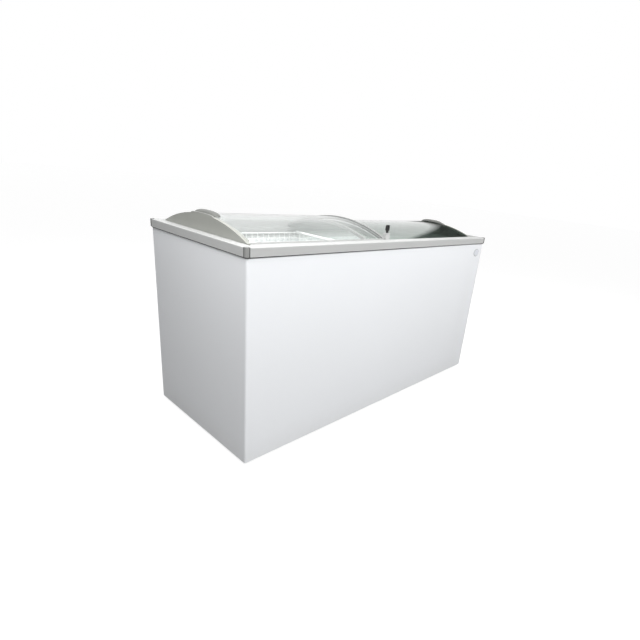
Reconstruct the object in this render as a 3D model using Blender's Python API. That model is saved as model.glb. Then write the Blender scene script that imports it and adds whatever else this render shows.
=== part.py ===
"""Chest freezer with two curved sliding glass lids, built from its separate pieces.

Metres, +Z up. The origin is on the floor, under the middle of the cabinet. +X runs along the
length, to the right of a person who stands in front, and the front faces -Y.
"""
import math

import bmesh
import bpy
from mathutils import Matrix, Vector

for old in list(bpy.data.objects):
    bpy.data.objects.remove(old, do_unlink=True)

# ---- cabinet
BODY_LENGTH = 1.520
BODY_DEPTH = 0.640
BODY_HEIGHT = 0.735          # underside of the base pan to the rim's underside
FOOT_HEIGHT = 0.016
SHEET = 0.0012               # painted steel
GAP = 0.0003                 # between pieces that touch
PANEL_BEND = 0.006           # outer bend radius of the front and rear panels
BEND_CLEARANCE = 0.0005      # panel bend to the end of a foam slab
WALL = 0.062                 # outer face to the tub's inner face
FLOOR_WALL = 0.064           # underside to the tub's floor
LINER = 0.001
LINER_CORNER = 0.0125        # bend radius of the tub's upright corners

# ---- compressor step and machine bay, at the right end
STEP_LENGTH = 0.345          # right outer face to the tub's step riser
STEP_HEIGHT = 0.284          # underside of the base pan to the top of the step
STEP_FOAM = 0.045

# ---- evaporator tube, wound round the tub
COIL_TURNS = 5
COIL_PITCH = 0.050
COIL_TOP_DROP = 0.120        # body top to the highest turn
COIL_RADIUS = 0.004
COIL_CLEARANCE = 0.0005

# ---- rim
RIM_HEIGHT = 0.030
RIM_OVERHANG = 0.005
RIM_FLAT = 0.044             # body face to the upper track, front and rear
SIDE_FLAT = 0.030            # body face to the step in the side rims
TRACK_WIDTH = 0.013
UPPER_TRACK_DEPTH = 0.008
LOWER_TRACK_DEPTH = 0.024
RIM_LIP = 0.004
RIM_LIP_CLEARANCE = 0.004    # tub wall to the lip that hangs inside it
RIM_LIP_DROP = 0.010
CORNER_CAP = 0.0065          # body corner to the cap's inner edge
RIM_ROUND = 0.0025           # top outer edge
CAP_ROUND = 0.006            # outer upright corner of a cap

# ---- tub collar, with the ledge that the basket hangs on
COLLAR_WALL = 0.0015
COLLAR_HEIGHT = 0.045
LEDGE_DROP = 0.022
LEDGE_WIDTH = 0.0115
LEDGE_THICKNESS = 0.003

# ---- lids
ARCH_RISE = 0.057            # rim top to the highest point of the upper glass
GLASS = 0.004
LID_STEP = 0.017             # upper glass down to lower glass, outer face to outer face
LID_END_CLEARANCE = 0.002    # step in a side rim to the outer face of a lid's closed end
END_THICKNESS = 0.012
END_PROUD = 0.001            # how far a lid end stands above its glass
END_LEDGE_LENGTH = 0.014     # shelf under the end of the glass
END_LEDGE_DEPTH = 0.008
UPPER_LID_REACH = 0.705      # left body end to the upper lid's free edge
LID_OVERLAP = 0.094
EDGE_TRIM = 0.012
TRIM_PROUD = 0.003
TRIM_BELOW = 0.0035
SEAL_WIDTH = 0.006
SEAL_CLEARANCE = 0.0015
RUNNER_CLEARANCE = 0.0013    # runner to track wall
RUNNER_LIP = 0.0034
RUNNER_LIP_RISE = 0.003      # above the glass's outer face
SLIDE_CLEARANCE = 0.0005     # lid end to rim

# ---- lid handles
HANDLE_LENGTH = 0.140
HANDLE_WIDTH = 0.036
HANDLE_HEIGHT = 0.013
HANDLE_INSET = 0.004         # lid end's outer face to the handle
HANDLE_RIM = 0.002           # upright edge under the dome
HANDLE_STATIONS = 14
HANDLE_SIDES = 8

# ---- lock
LOCK_LENGTH = 0.026
LOCK_DEPTH = 0.020
LOCK_HEIGHT = 0.028
LOCK_RAISE = 0.0052          # upper track floor to the housing
LOCK_FROM_WALL = 0.0083      # upper track's wall to the barrel's axis
BARREL_RADIUS = 0.0065
BARREL_PROUD = 0.0012        # housing's top to the barrel's top
BARREL_CHAMFER = 0.0008
HOUSING_ROUND = 0.004
HOUSING_WALL = 0.0017        # barrel to the housing's front face
BARREL_CLEARANCE = 0.0003
CAM_THICKNESS = 0.002
CAM_HALF_WIDTH = 0.0035
CAM_REACH = 0.0160
SLOT_CLEARANCE = 0.0010
SLOT_DEPTH = 0.004           # how far the slot's cutter reaches out of the wall
KEY_THICKNESS = 0.0030
KEY_BOW_RADIUS = 0.0110
KEY_SHANK = 0.012
KEY_SHANK_HALF = 0.004

# ---- basket
BASKET_LENGTH = 0.440
BASKET_HEIGHT = 0.210
BASKET_WALL = 0.004
BASKET_TAPER = 0.012
BASKET_RAIL = 0.008
BASKET_LEDGE_CLEARANCE = 0.004
BASKET_RAIL_CLEARANCE = 0.002    # collar wall to the end of a rail
BASKET_START = 0.158         # tub's left wall to the basket

# ---- feet
FOOT_RADIUS = 0.022
FOOT_SOLE = 0.018
FOOT_INSET_X = 0.110
FOOT_INSET_Y = 0.085

# ---- intake grille and control panel, on the right side
GRILLE_WIDTH = 0.350
GRILLE_HEIGHT = 0.195
GRILLE_FROM_FRONT = 0.075    # body's front face to the grille's front edge
GRILLE_BOTTOM = 0.029        # above the underside of the base pan
GRILLE_SLOTS = 11
GRILLE_FRAME = 0.012
GRILLE_MULLION = 0.010
GRILLE_THICKNESS = 0.0035
SLOT_SHARE = 0.55            # open part of a slot's pitch
PLATE_PROUD = 0.0012
CONTROL_WIDTH = 0.100
CONTROL_HEIGHT = 0.160
CONTROL_FROM_REAR = 0.142    # body's rear face to the panel's middle
CONTROL_BOTTOM = 0.064       # above the underside of the base pan
CONTROL_DEPTH = 0.019
CONTROL_WALL = 0.003
KNOB_RADIUS = 0.019
KNOB_DISC = 0.006
KNOB_DEPTH = 0.0150
KNOB_RISE = 0.1088           # above the control panel's lower edge
SHAFT_RADIUS = 0.003
SHAFT_CLEARANCE = 0.0005
SHAFT_PROUD = 0.0012         # pocket's floor to the end of the shaft
THERMOSTAT_DEPTH = 0.034
THERMOSTAT_HALF = 0.021
KNOB_CHAMFER = 0.001
GRIP_HALF_WIDTH = 0.0035
GRIP_REACH = 0.93            # of the knob's radius
ROCKER_LENGTH = 0.030
ROCKER_WIDTH = 0.020
ROCKER_RISE = 0.0352         # above the control panel's lower edge
ROCKER_PIVOT = 0.0060        # above the pocket's floor
ROCKER_TILT = math.radians(9)
GLAND_RADIUS = 0.014
GLAND_NECK = 0.009
GLAND_PROUD = 0.0040
GLAND_DEPTH = 0.014
GLAND_BELOW_CONTROL = 0.012

# ---- machinery
COMPRESSOR_RADIUS = 0.078
COMPRESSOR_HEIGHT = 0.165
COMPRESSOR_FROM_RIGHT = 0.205
COMPRESSOR_FROM_REAR = 0.170
CHANNEL_HEIGHT = 0.014
CONDENSER_DEPTH = 0.040
CONDENSER_RAISE = 0.010      # above the base pan
CONDENSER_HEIGHT = 0.205
CONDENSER_WIDTH = 0.330
CONDENSER_FINS = 22
CONDENSER_CORE = 0.005       # half thickness
CONDENSER_TO_PANEL = 0.012
SHROUD_SIZE = 0.216
SHROUD = 0.003
SHROUD_TO_CONDENSER = 0.004
FAN_RADIUS = 0.090
FAN_TIP_CLEARANCE = 0.004
FAN_HUB = 0.024
FAN_BLADES = 5
FAN_DEPTH = 0.018
MOTOR_RADIUS = 0.034
MOTOR_LENGTH = 0.055
MOTOR_TO_BLADE = 0.003
BLADE_HALF_THICKNESS = 0.0008
BRACKET_FOOT = 0.030
BRACKET_THICKNESS = 0.003
BRACKET_WIDTH = 0.040
PIPE_RADIUS = 0.0035
PIPE_CLEARANCE = 0.0008      # pipe's end to what it meets
PIPE_START = 0.0785          # above the channel
PIPE_DROP = 0.025            # condenser's top to the pipe's end
PIPE_FROM_EDGE = 0.012       # condenser's rear edge to the pipe's end
TERMINAL_LOW = 0.040         # above the compressor's foot
TERMINAL_HIGH = 0.105
TERMINAL_DEPTH = 0.030
TERMINAL_HALF = 0.026

# ---- drain
DRAIN_FROM_LEFT = 0.200
DRAIN_BORE = 0.008
DRAIN_WALL = 0.002
DRAIN_BELOW = 0.006
PLUG_RADIUS = 0.016
PLUG_HEAD = 0.006
PLUG_STEM = 0.030
PLUG_CLEARANCE = 0.0006

CUTTER_REACH = 0.010         # how far a cutter runs past what it cuts
ARC_STEPS = 24
ROUND_STEPS = 24
CORNER_STEPS = 4

# ---- heights and half sizes that follow
HALF_LENGTH = BODY_LENGTH / 2
HALF_DEPTH = BODY_DEPTH / 2
BASE = FOOT_HEIGHT
BODY_TOP = BASE + BODY_HEIGHT
RIM_TOP = BODY_TOP + RIM_HEIGHT
UPPER_TRACK = RIM_TOP - UPPER_TRACK_DEPTH
LOWER_TRACK = RIM_TOP - LOWER_TRACK_DEPTH
RIM_INNER = max(RIM_FLAT + 2 * TRACK_WIDTH, WALL + RIM_LIP_CLEARANCE + RIM_LIP)
LID_END = SIDE_FLAT + LID_END_CLEARANCE     # body end to the outer face of a lid's closed end
PAN_TOP = BASE + SHEET
TUB_FLOOR = BASE + FLOOR_WALL
CHANNEL_TOP = PAN_TOP + GAP + CHANNEL_HEIGHT
STEP_TOP = BASE + STEP_HEIGHT
BAY_TOP = STEP_TOP - LINER - GAP - STEP_FOAM - GAP
STEP_X = HALF_LENGTH - STEP_LENGTH
RISER_FOAM_X = STEP_X + LINER + GAP
BAY_X = RISER_FOAM_X + STEP_FOAM
BAY_END = HALF_LENGTH - SHEET
FOAM_OUTER = SHEET + GAP
FOAM_INNER = WALL - LINER - GAP
FOAM_END = PANEL_BEND + BEND_CLEARANCE
TUB_CORNER_CENTRE = WALL + LINER_CORNER
LEDGE_TOP = BODY_TOP - LEDGE_DROP
UPPER_HALF = HALF_DEPTH - RIM_FLAT - RUNNER_CLEARANCE
LOWER_HALF = UPPER_HALF - TRACK_WIDTH
ARCH_CHORD = HALF_DEPTH - RIM_FLAT
ARCH_RADIUS = (ARCH_CHORD**2 + ARCH_RISE**2) / (2 * ARCH_RISE)
ARCH_CENTRE = RIM_TOP + ARCH_RISE - ARCH_RADIUS
LOWER_RADIUS = ARCH_RADIUS - LID_STEP
UPPER_FREE = -HALF_LENGTH + UPPER_LID_REACH
LOWER_FREE = UPPER_FREE - LID_OVERLAP
CONTROL_Y = HALF_DEPTH - CONTROL_FROM_REAR
CONTROL_LOW = BASE + CONTROL_BOTTOM
CONTROL_TOP = CONTROL_LOW + CONTROL_HEIGHT
GRILLE_FRONT = -HALF_DEPTH + GRILLE_FROM_FRONT
GRILLE_REAR = GRILLE_FRONT + GRILLE_WIDTH
GRILLE_Y = (GRILLE_FRONT + GRILLE_REAR) / 2
GRILLE_LOW = BASE + GRILLE_BOTTOM
GRILLE_TOP = GRILLE_LOW + GRILLE_HEIGHT
CONDENSER_X1 = BAY_END - CONDENSER_TO_PANEL
CONDENSER_X0 = CONDENSER_X1 - CONDENSER_DEPTH
CONDENSER_FRONT = GRILLE_Y - CONDENSER_WIDTH / 2
CONDENSER_REAR = GRILLE_Y + CONDENSER_WIDTH / 2
CONDENSER_TOP = PAN_TOP + CONDENSER_RAISE + CONDENSER_HEIGHT
COMPRESSOR_X = HALF_LENGTH - COMPRESSOR_FROM_RIGHT
COMPRESSOR_Y = HALF_DEPTH - COMPRESSOR_FROM_REAR
DRAIN_X = -HALF_LENGTH + DRAIN_FROM_LEFT


# ---------------------------------------------------------------- materials
def paint(name, colour, roughness, metallic=0.0, alpha=1.0):
    """A Principled material."""
    made = bpy.data.materials.new(name)
    made.use_nodes = True
    shader = made.node_tree.nodes["Principled BSDF"]
    shader.inputs["Base Color"].default_value = (*colour, 1.0)
    shader.inputs["Roughness"].default_value = roughness
    shader.inputs["Metallic"].default_value = metallic
    shader.inputs["Alpha"].default_value = alpha
    made.diffuse_color = (*colour, alpha)
    return made


WHITE_STEEL = ("white_steel", (0.86, 0.87, 0.89), 0.35)
GREY_RIM = ("grey_rim", (0.53, 0.54, 0.55), 0.45)
DARK_END = ("dark_end", (0.27, 0.27, 0.25), 0.5)
CLEAR_GLASS = ("clear_glass", (0.80, 0.84, 0.80), 0.05, 0.0, 0.35)
BLACK_PLASTIC = ("black_plastic", (0.02, 0.02, 0.02), 0.5)
GREY_PLASTIC = ("grey_plastic", (0.35, 0.35, 0.36), 0.5)
LINER_METAL = ("liner_metal", (0.78, 0.79, 0.80), 0.4, 0.4)
FOAM = ("foam", (0.80, 0.68, 0.42), 0.9)
COPPER = ("copper", (0.75, 0.40, 0.25), 0.35, 1.0)
GALVANISED = ("galvanised", (0.55, 0.56, 0.58), 0.4, 0.9)
BLACK_STEEL = ("black_steel", (0.03, 0.03, 0.035), 0.45, 0.3)
RUBBER = ("rubber", (0.03, 0.03, 0.03), 0.8)
WHITE_WIRE = ("white_wire", (0.82, 0.82, 0.82), 0.4)
STEEL = ("steel", (0.65, 0.65, 0.66), 0.3, 1.0)
RED = ("switch_red", (0.45, 0.02, 0.02), 0.4)


# ---------------------------------------------------------------- mesh tools
def add(name, points, faces, finish, smooth=False):
    """One object from points and faces, its faces turned outwards."""
    mesh = bpy.data.meshes.new(name)
    mesh.from_pydata([tuple(p) for p in points], [], faces)
    work = bmesh.new()
    work.from_mesh(mesh)
    bmesh.ops.recalc_face_normals(work, faces=work.faces)
    work.to_mesh(mesh)
    work.free()
    if smooth:
        mesh.shade_smooth()
        mesh.set_sharp_from_angle(angle=math.radians(35))
    mesh.materials.append(paint(name + "_" + finish[0], *finish[1:]))
    made = bpy.data.objects.new(name, mesh)
    bpy.context.collection.objects.link(made)
    return made


def loft(name, rings, finish, smooth=False, around=False):
    """Rings of equally many points joined in order; the ends are capped, or joined when around."""
    count = len(rings[0])
    points = [p for ring in rings for p in ring]
    faces = []
    pairs = list(zip(range(len(rings) - 1), range(1, len(rings))))
    if around:
        pairs.append((len(rings) - 1, 0))
    for a, b in pairs:
        for i in range(count):
            j = (i + 1) % count
            faces.append((a * count + i, a * count + j, b * count + j, b * count + i))
    if not around:
        faces.append(tuple(range(count)))
        faces.append(tuple(range((len(rings) - 1) * count, len(rings) * count)))
    return add(name, points, faces, finish, smooth)


def prism(name, outline, axis, low, high, finish):
    """A flat outline, in the two other axes, drawn out along an axis."""
    def place(p, along):
        rest = list(p)
        rest.insert("xyz".index(axis), along)
        return rest
    rings = [[place(p, end) for p in outline] for end in (low, high)]
    return loft(name, rings, finish)


def block(name, low, high, finish):
    """A box between two corners."""
    outline = [(low[0], low[1]), (high[0], low[1]), (high[0], high[1]), (low[0], high[1])]
    return prism(name, outline, "z", low[2], high[2], finish)


def lathe(name, profile, origin, axis, finish, steps=ROUND_STEPS, closed=False):
    """A profile of (radius, along) turned about an axis; it starts and ends on the axis, or is a
    ring when closed."""
    turn = {"x": Matrix.Rotation(math.pi / 2, 3, "Y"), "y": Matrix.Rotation(-math.pi / 2, 3, "X"),
            "z": Matrix.Identity(3)}[axis]
    centre = Vector(origin)
    rings = []
    for radius, along in profile:
        ring = []
        for k in range(steps):
            angle = 2 * math.pi * k / steps
            ring.append(centre + turn @ Vector((radius * math.cos(angle), radius * math.sin(angle), along)))
        rings.append(ring)
    return loft(name, rings, finish, smooth=True, around=closed)


def tube(name, route, radius, finish):
    """A round tube along a route, with its ends closed."""
    curve = bpy.data.curves.new(name, "CURVE")
    curve.dimensions = "3D"
    curve.bevel_depth = radius
    curve.bevel_resolution = 2
    curve.use_fill_caps = True
    line = curve.splines.new("POLY")
    line.points.add(len(route) - 1)
    for point, place in zip(line.points, route):
        point.co = (*place, 1.0)
    curve.materials.append(paint(name + "_" + finish[0], *finish[1:]))
    made = bpy.data.objects.new(name, curve)
    bpy.context.collection.objects.link(made)
    return made


def smooth_route(marks, per_span=5):
    """Points on a Catmull-Rom curve through the marks."""
    ends = [marks[0]] + list(marks) + [marks[-1]]
    route = []
    for k in range(len(marks) - 1):
        a, b, c, d = (Vector(p) for p in ends[k:k + 4])
        for i in range(per_span):
            t = i / per_span
            route.append(0.5 * (2 * b + (c - a) * t + (2 * a - 5 * b + 4 * c - d) * t**2
                                + (3 * b - a - 3 * c + d) * t**3))
    route.append(Vector(marks[-1]))
    return route


def shape(target, tool, operation):
    """Cut a tool out of an object, or join the two; the tool itself is only a guide."""
    modifier = target.modifiers.new(operation.lower(), "BOOLEAN")
    modifier.operation = operation
    modifier.solver = "EXACT"
    modifier.object = tool
    tool.hide_render = True
    tool.display_type = "WIRE"


def move_origin(made, place):
    """Put an object's origin on its joint, and leave its shape where it is."""
    made.data.transform(Matrix.Translation(-Vector(place)))
    made.location = place


def moving_group(name, place, pieces):
    """An empty at a joint, with the pieces that move with it."""
    empty = bpy.data.objects.new(name, None)
    empty.location = place
    bpy.context.collection.objects.link(empty)
    for piece in pieces:
        piece.parent = empty
        piece.location = Vector(piece.location) - Vector(place)


# ---------------------------------------------------------------- shared outlines
def arch_height(radius, y):
    """Height at depth y of an arch of this radius."""
    return ARCH_CENTRE + math.sqrt(radius**2 - y**2)


def arch_line(radius, half, steps=ARC_STEPS):
    """Points (y, z) along an arch, from -half to half."""
    reach = math.asin(half / radius)
    angles = [reach * (2 * k / steps - 1) for k in range(steps + 1)]
    return [(radius * math.sin(a), ARCH_CENTRE + radius * math.cos(a)) for a in angles]


def arch_band(radius_in, radius_out, half, steps=ARC_STEPS):
    """Outline of a band between two arches with upright ends."""
    outer = arch_line(radius_out, half, steps)
    return outer + [(y, arch_height(radius_in, y)) for y, _ in reversed(outer)]


def rounded_rectangle(inset, corner_centre, steps=CORNER_STEPS):
    """Plan outline at this inset from the body's faces; its corners turn about points at corner_centre."""
    cx = HALF_LENGTH - corner_centre
    cy = HALF_DEPTH - corner_centre
    radius = corner_centre - inset
    outline = []
    for quarter, (sx, sy) in enumerate(((1, 1), (-1, 1), (-1, -1), (1, -1))):
        for k in range(steps + 1):
            angle = math.pi / 2 * (quarter + k / steps)
            outline.append((sx * cx + radius * math.cos(angle), sy * cy + radius * math.sin(angle)))
    return outline


def rounded_box(name, low, high, corner, finish):
    """A box with rounded upright corners."""
    outline = []
    for quarter, (x, y) in enumerate(((high[0] - corner, high[1] - corner),
                                      (low[0] + corner, high[1] - corner),
                                      (low[0] + corner, low[1] + corner),
                                      (high[0] - corner, low[1] + corner))):
        for k in range(CORNER_STEPS + 1):
            angle = math.pi / 2 * (quarter + k / CORNER_STEPS)
            outline.append((x + corner * math.cos(angle), y + corner * math.sin(angle)))
    return prism(name, outline, "z", low[2], high[2], finish)


# ---------------------------------------------------------------- cabinet
def bent_panel(name, side):
    """The front (side -1) or rear (side 1) panel: one sheet with a bend down each edge."""
    centre_x = HALF_LENGTH - PANEL_BEND
    centre_y = HALF_DEPTH - PANEL_BEND
    outer, inner = [], []
    for sign in (-1, 1):
        for k in range(CORNER_STEPS + 1):
            angle = math.pi / 2 * k / CORNER_STEPS
            if sign > 0:
                angle = math.pi / 2 - angle
            for line, radius in ((outer, PANEL_BEND), (inner, PANEL_BEND - SHEET)):
                x = sign * (centre_x + radius * math.cos(angle))
                y = side * (centre_y + radius * math.sin(angle))
                line.append((x, y))
    prism(name, outer + inner[::-1], "z", BASE, BODY_TOP, WHITE_STEEL)


def side_panel(name, side):
    """A flat end panel between the bends of the front and rear panels."""
    outer = side * HALF_LENGTH
    inner = side * (HALF_LENGTH - SHEET)
    reach = HALF_DEPTH - PANEL_BEND - GAP
    low = (min(outer, inner), -reach, BASE)
    high = (max(outer, inner), reach, BODY_TOP)
    return block(name, low, high, WHITE_STEEL)


def cabinet_shell():
    bent_panel("front_panel", -1)
    bent_panel("rear_panel", 1)
    side_panel("left_side_panel", -1)
    right = side_panel("right_side_panel", 1)
    half = CONTROL_WIDTH / 2
    openings = (
        ("grille_cutter", GRILLE_FRONT, GRILLE_REAR, GRILLE_LOW, GRILLE_TOP),
        ("control_cutter", CONTROL_Y - half, CONTROL_Y + half, CONTROL_LOW, CONTROL_TOP),
    )
    for name, front, rear, low, top in openings:
        cutter = block(name, (BAY_END - CUTTER_REACH, front - GAP, low - GAP),
                       (HALF_LENGTH + CUTTER_REACH, rear + GAP, top + GAP), STEEL)
        shape(right, cutter, "DIFFERENCE")
    gland_y, gland_z = gland_place()
    neck = GLAND_NECK + GAP
    cutter = lathe("gland_cutter", [(neck, -CUTTER_REACH), (neck, CUTTER_REACH)],
                   (HALF_LENGTH, gland_y, gland_z), "x", STEEL)
    shape(right, cutter, "DIFFERENCE")

    x, y = HALF_LENGTH - FOAM_OUTER, HALF_DEPTH - FOAM_OUTER
    cut_x, cut_y = x - PANEL_BEND, y - PANEL_BEND
    outline = [(-x, -cut_y), (-cut_x, -y), (cut_x, -y), (x, -cut_y),
               (x, cut_y), (cut_x, y), (-cut_x, y), (-x, cut_y)]
    pan = prism("base_pan", outline, "z", BASE, PAN_TOP, GALVANISED)
    shape(pan, drain_cutter("pan_drain_cutter"), "DIFFERENCE")


def gland_place():
    """Where the mains lead's bush sits on the right side: under the control panel."""
    return CONTROL_Y, CONTROL_LOW - GLAND_RADIUS - GLAND_BELOW_CONTROL


def drain_cutter(name):
    """A hole for the drain tube, from under the base pan to above the tub's floor."""
    radius = DRAIN_BORE + DRAIN_WALL + GAP
    profile = [(radius, BASE - CUTTER_REACH), (radius, TUB_FLOOR + CUTTER_REACH)]
    return lathe(name, profile, (DRAIN_X, 0, 0), "z", STEEL)


def feet():
    profile = [(FOOT_SOLE, 0.0), (FOOT_RADIUS, 0.002), (FOOT_RADIUS, 0.008), (FOOT_SOLE, FOOT_HEIGHT - GAP)]
    for end, sx in (("left", -1), ("right", 1)):
        for face, sy in (("front", -1), ("rear", 1)):
            place = (sx * (HALF_LENGTH - FOOT_INSET_X), sy * (HALF_DEPTH - FOOT_INSET_Y), 0)
            lathe(f"foot_{face}_{end}", profile, place, "z", RUBBER)


# ---------------------------------------------------------------- insulation and tub
def coil_levels():
    top = BODY_TOP - COIL_TOP_DROP
    return [top - k * COIL_PITCH for k in range(COIL_TURNS)]


def coil_inset():
    return WALL - LINER - COIL_CLEARANCE - COIL_RADIUS


def foam_slabs():
    """Foam on every side of the tub, grooved for the tube that is wound round it."""
    low_z, high_z = PAN_TOP + GAP, BODY_TOP - GAP
    reach_x = HALF_LENGTH - FOAM_END
    groove = COIL_RADIUS + COIL_CLEARANCE
    depth_inset = coil_inset() - groove
    outer_y, inner_y = HALF_DEPTH - FOAM_OUTER, HALF_DEPTH - FOAM_INNER

    notched = [(-outer_y, low_z), (-inner_y, low_z)]
    for level in reversed(coil_levels()):
        bed = -(HALF_DEPTH - depth_inset)
        notched += [(-inner_y, level - groove), (bed, level - groove),
                    (bed, level + groove), (-inner_y, level + groove)]
    notched += [(-inner_y, high_z), (-outer_y, high_z)]
    prism("foam_front", notched, "x", -reach_x, reach_x, FOAM)

    bottom_level, top_level = coil_levels()[-1] - groove, coil_levels()[0] + groove
    bed = HALF_DEPTH - depth_inset
    rebated = [(outer_y, low_z), (inner_y, low_z), (inner_y, bottom_level), (bed, bottom_level),
               (bed, top_level), (inner_y, top_level), (inner_y, high_z), (outer_y, high_z)]
    prism("foam_rear", rebated, "x", -reach_x, reach_x, FOAM)

    side_y = inner_y - GAP
    outer_x, inner_x = HALF_LENGTH - FOAM_OUTER, HALF_LENGTH - FOAM_INNER
    bed = HALF_LENGTH - depth_inset
    for name, side, bottom in (("foam_left", -1, low_z), ("foam_right", 1, BAY_TOP + GAP)):
        outline = [(side * outer_x, bottom), (side * inner_x, bottom)]
        for level in reversed(coil_levels()):
            outline += [(side * inner_x, level - groove), (side * bed, level - groove),
                        (side * bed, level + groove), (side * inner_x, level + groove)]
        outline += [(side * inner_x, high_z), (side * outer_x, high_z)]
        prism(name, outline, "y", -side_y, side_y, FOAM)

    floor_top = TUB_FLOOR - LINER - GAP
    floor = block("foam_floor", (-inner_x + GAP, -side_y, low_z), (BAY_X, side_y, floor_top), FOAM)
    shape(floor, drain_cutter("foam_drain_cutter"), "DIFFERENCE")
    block("foam_step_riser", (RISER_FOAM_X, -side_y, floor_top + GAP), (BAY_X, side_y, BAY_TOP), FOAM)
    block("foam_step_top", (RISER_FOAM_X, -side_y, BAY_TOP + GAP),
          (inner_x - GAP, side_y, STEP_TOP - LINER - GAP), FOAM)


def liner():
    """The tub: pressed sheet with a step over the machine bay."""
    x, y = HALF_LENGTH - WALL, HALF_DEPTH - WALL
    top = BODY_TOP - GAP
    over = 2 * CUTTER_REACH
    tub = rounded_box("inner_liner", (-x - LINER, -y - LINER, TUB_FLOOR - LINER),
                      (STEP_X + LINER, y + LINER, top), LINER_CORNER + LINER, LINER_METAL)
    upper = rounded_box("liner_upper_form", (-x - LINER, -y - LINER, STEP_TOP - LINER),
                        (x + LINER, y + LINER, top), LINER_CORNER + LINER, LINER_METAL)
    deep = rounded_box("liner_deep_cutter", (-x, -y, TUB_FLOOR), (STEP_X, y, top + over),
                       LINER_CORNER, STEEL)
    wide = rounded_box("liner_wide_cutter", (-x, -y, STEP_TOP), (x, y, top + over),
                       LINER_CORNER, STEEL)
    shape(tub, upper, "UNION")
    shape(tub, deep, "DIFFERENCE")
    shape(tub, wide, "DIFFERENCE")
    shape(tub, drain_cutter("liner_drain_cutter"), "DIFFERENCE")


def collar():
    """The smooth plastic band round the top of the tub, with a ledge along it."""
    outer = WALL + GAP
    wall = outer + COLLAR_WALL
    ledge = outer + LEDGE_WIDTH
    top = BODY_TOP - RIM_LIP_DROP - GAP
    section = [(outer, top), (outer, BODY_TOP - COLLAR_HEIGHT), (wall, BODY_TOP - COLLAR_HEIGHT),
               (wall, LEDGE_TOP - LEDGE_THICKNESS), (ledge, LEDGE_TOP - LEDGE_THICKNESS),
               (ledge, LEDGE_TOP), (wall, LEDGE_TOP), (wall, top)]
    rings = [[(x, y, z) for x, y in rounded_rectangle(inset, TUB_CORNER_CENTRE)] for inset, z in section]
    loft("liner_collar", rings, WHITE_WIRE, around=True)


def evaporator():
    """The tube wound round the tub: level on three walls, and down to the next turn at the rear."""
    levels = coil_levels()
    inset = coil_inset()
    cx, cy = HALF_LENGTH - TUB_CORNER_CENTRE, HALF_DEPTH - TUB_CORNER_CENTRE
    bend = TUB_CORNER_CENTRE - inset
    route = []
    for level in levels:
        for start, (sx, sy) in ((90, (-1, 1)), (180, (-1, -1)), (270, (1, -1)), (0, (1, 1))):
            for k in range(CORNER_STEPS + 1):
                angle = math.radians(start + 90 * k / CORNER_STEPS)
                route.append((sx * cx + bend * math.cos(angle), sy * cy + bend * math.sin(angle), level))
    tube("evaporator_coil", route, COIL_RADIUS, COPPER)


# ---------------------------------------------------------------- rim
def rim_profile(flat, tracks):
    """Half-section (inset, z) of a rim: outer face, flat top, the steps of the tracks, inner lip."""
    round_top = []
    for k in range(CORNER_STEPS + 1):
        angle = math.pi - math.pi / 2 * k / CORNER_STEPS
        round_top.append((-RIM_OVERHANG + RIM_ROUND + RIM_ROUND * math.cos(angle),
                          RIM_TOP - RIM_ROUND + RIM_ROUND * math.sin(angle)))
    profile = [(-RIM_OVERHANG, BODY_TOP + GAP)] + round_top
    profile += [(CORNER_CAP, RIM_TOP), (flat, RIM_TOP)]
    profile += tracks
    lip = WALL + RIM_LIP_CLEARANCE
    profile += [(lip + RIM_LIP, BODY_TOP - RIM_LIP_DROP), (lip, BODY_TOP - RIM_LIP_DROP),
                (lip, BODY_TOP + GAP), (CORNER_CAP, BODY_TOP + GAP)]
    return profile


def mitred_rim(name, profile, place):
    """A rim between two corner caps; each end follows the cap, then the 45 degree mitre."""
    rings = []
    for end in (-1, 1):
        rings.append([place(inset, z, end) for inset, z in profile])
    return loft(name, rings, GREY_RIM)


def rims():
    first = RIM_FLAT + TRACK_WIDTH
    long_profile = rim_profile(RIM_FLAT, [(RIM_FLAT, UPPER_TRACK), (first, UPPER_TRACK),
                                          (first, LOWER_TRACK), (RIM_INNER, LOWER_TRACK)])
    short_profile = rim_profile(SIDE_FLAT, [(SIDE_FLAT, LOWER_TRACK), (RIM_INNER, LOWER_TRACK)])

    def along_x(side):
        def place(inset, z, end):
            start = max(inset, CORNER_CAP) + GAP
            return (end * (HALF_LENGTH - start), side * (HALF_DEPTH - inset), z)
        return place

    def along_y(side):
        def place(inset, z, end):
            start = max(inset, CORNER_CAP) + GAP
            return (side * (HALF_LENGTH - inset), end * (HALF_DEPTH - start), z)
        return place

    front = mitred_rim("rim_front", long_profile, along_x(-1))
    shape(front, lock_slot_cutter(), "DIFFERENCE")
    mitred_rim("rim_rear", long_profile, along_x(1))
    mitred_rim("rim_left", short_profile, along_y(-1))
    mitred_rim("rim_right", short_profile, along_y(1))

    for end, sx in (("left", -1), ("right", 1)):
        for face, sy in (("front", -1), ("rear", 1)):
            corner_cap(f"corner_cap_{face}_{end}", sx, sy)


def corner_cap(name, sx, sy):
    """A moulded cap over the corner where two rims meet."""
    out = -RIM_OVERHANG
    centre = out + CAP_ROUND
    plan = [(CORNER_CAP, CORNER_CAP), (CORNER_CAP, out)]
    for k in range(CORNER_STEPS + 1):
        angle = math.pi / 2 * k / CORNER_STEPS
        plan.append((centre - CAP_ROUND * math.sin(angle), centre - CAP_ROUND * math.cos(angle)))
    plan.append((out, CORNER_CAP))
    outline = [(sx * (HALF_LENGTH - a), sy * (HALF_DEPTH - b)) for a, b in plan]
    prism(name, outline, "z", BODY_TOP + GAP, RIM_TOP, GREY_RIM)


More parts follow.
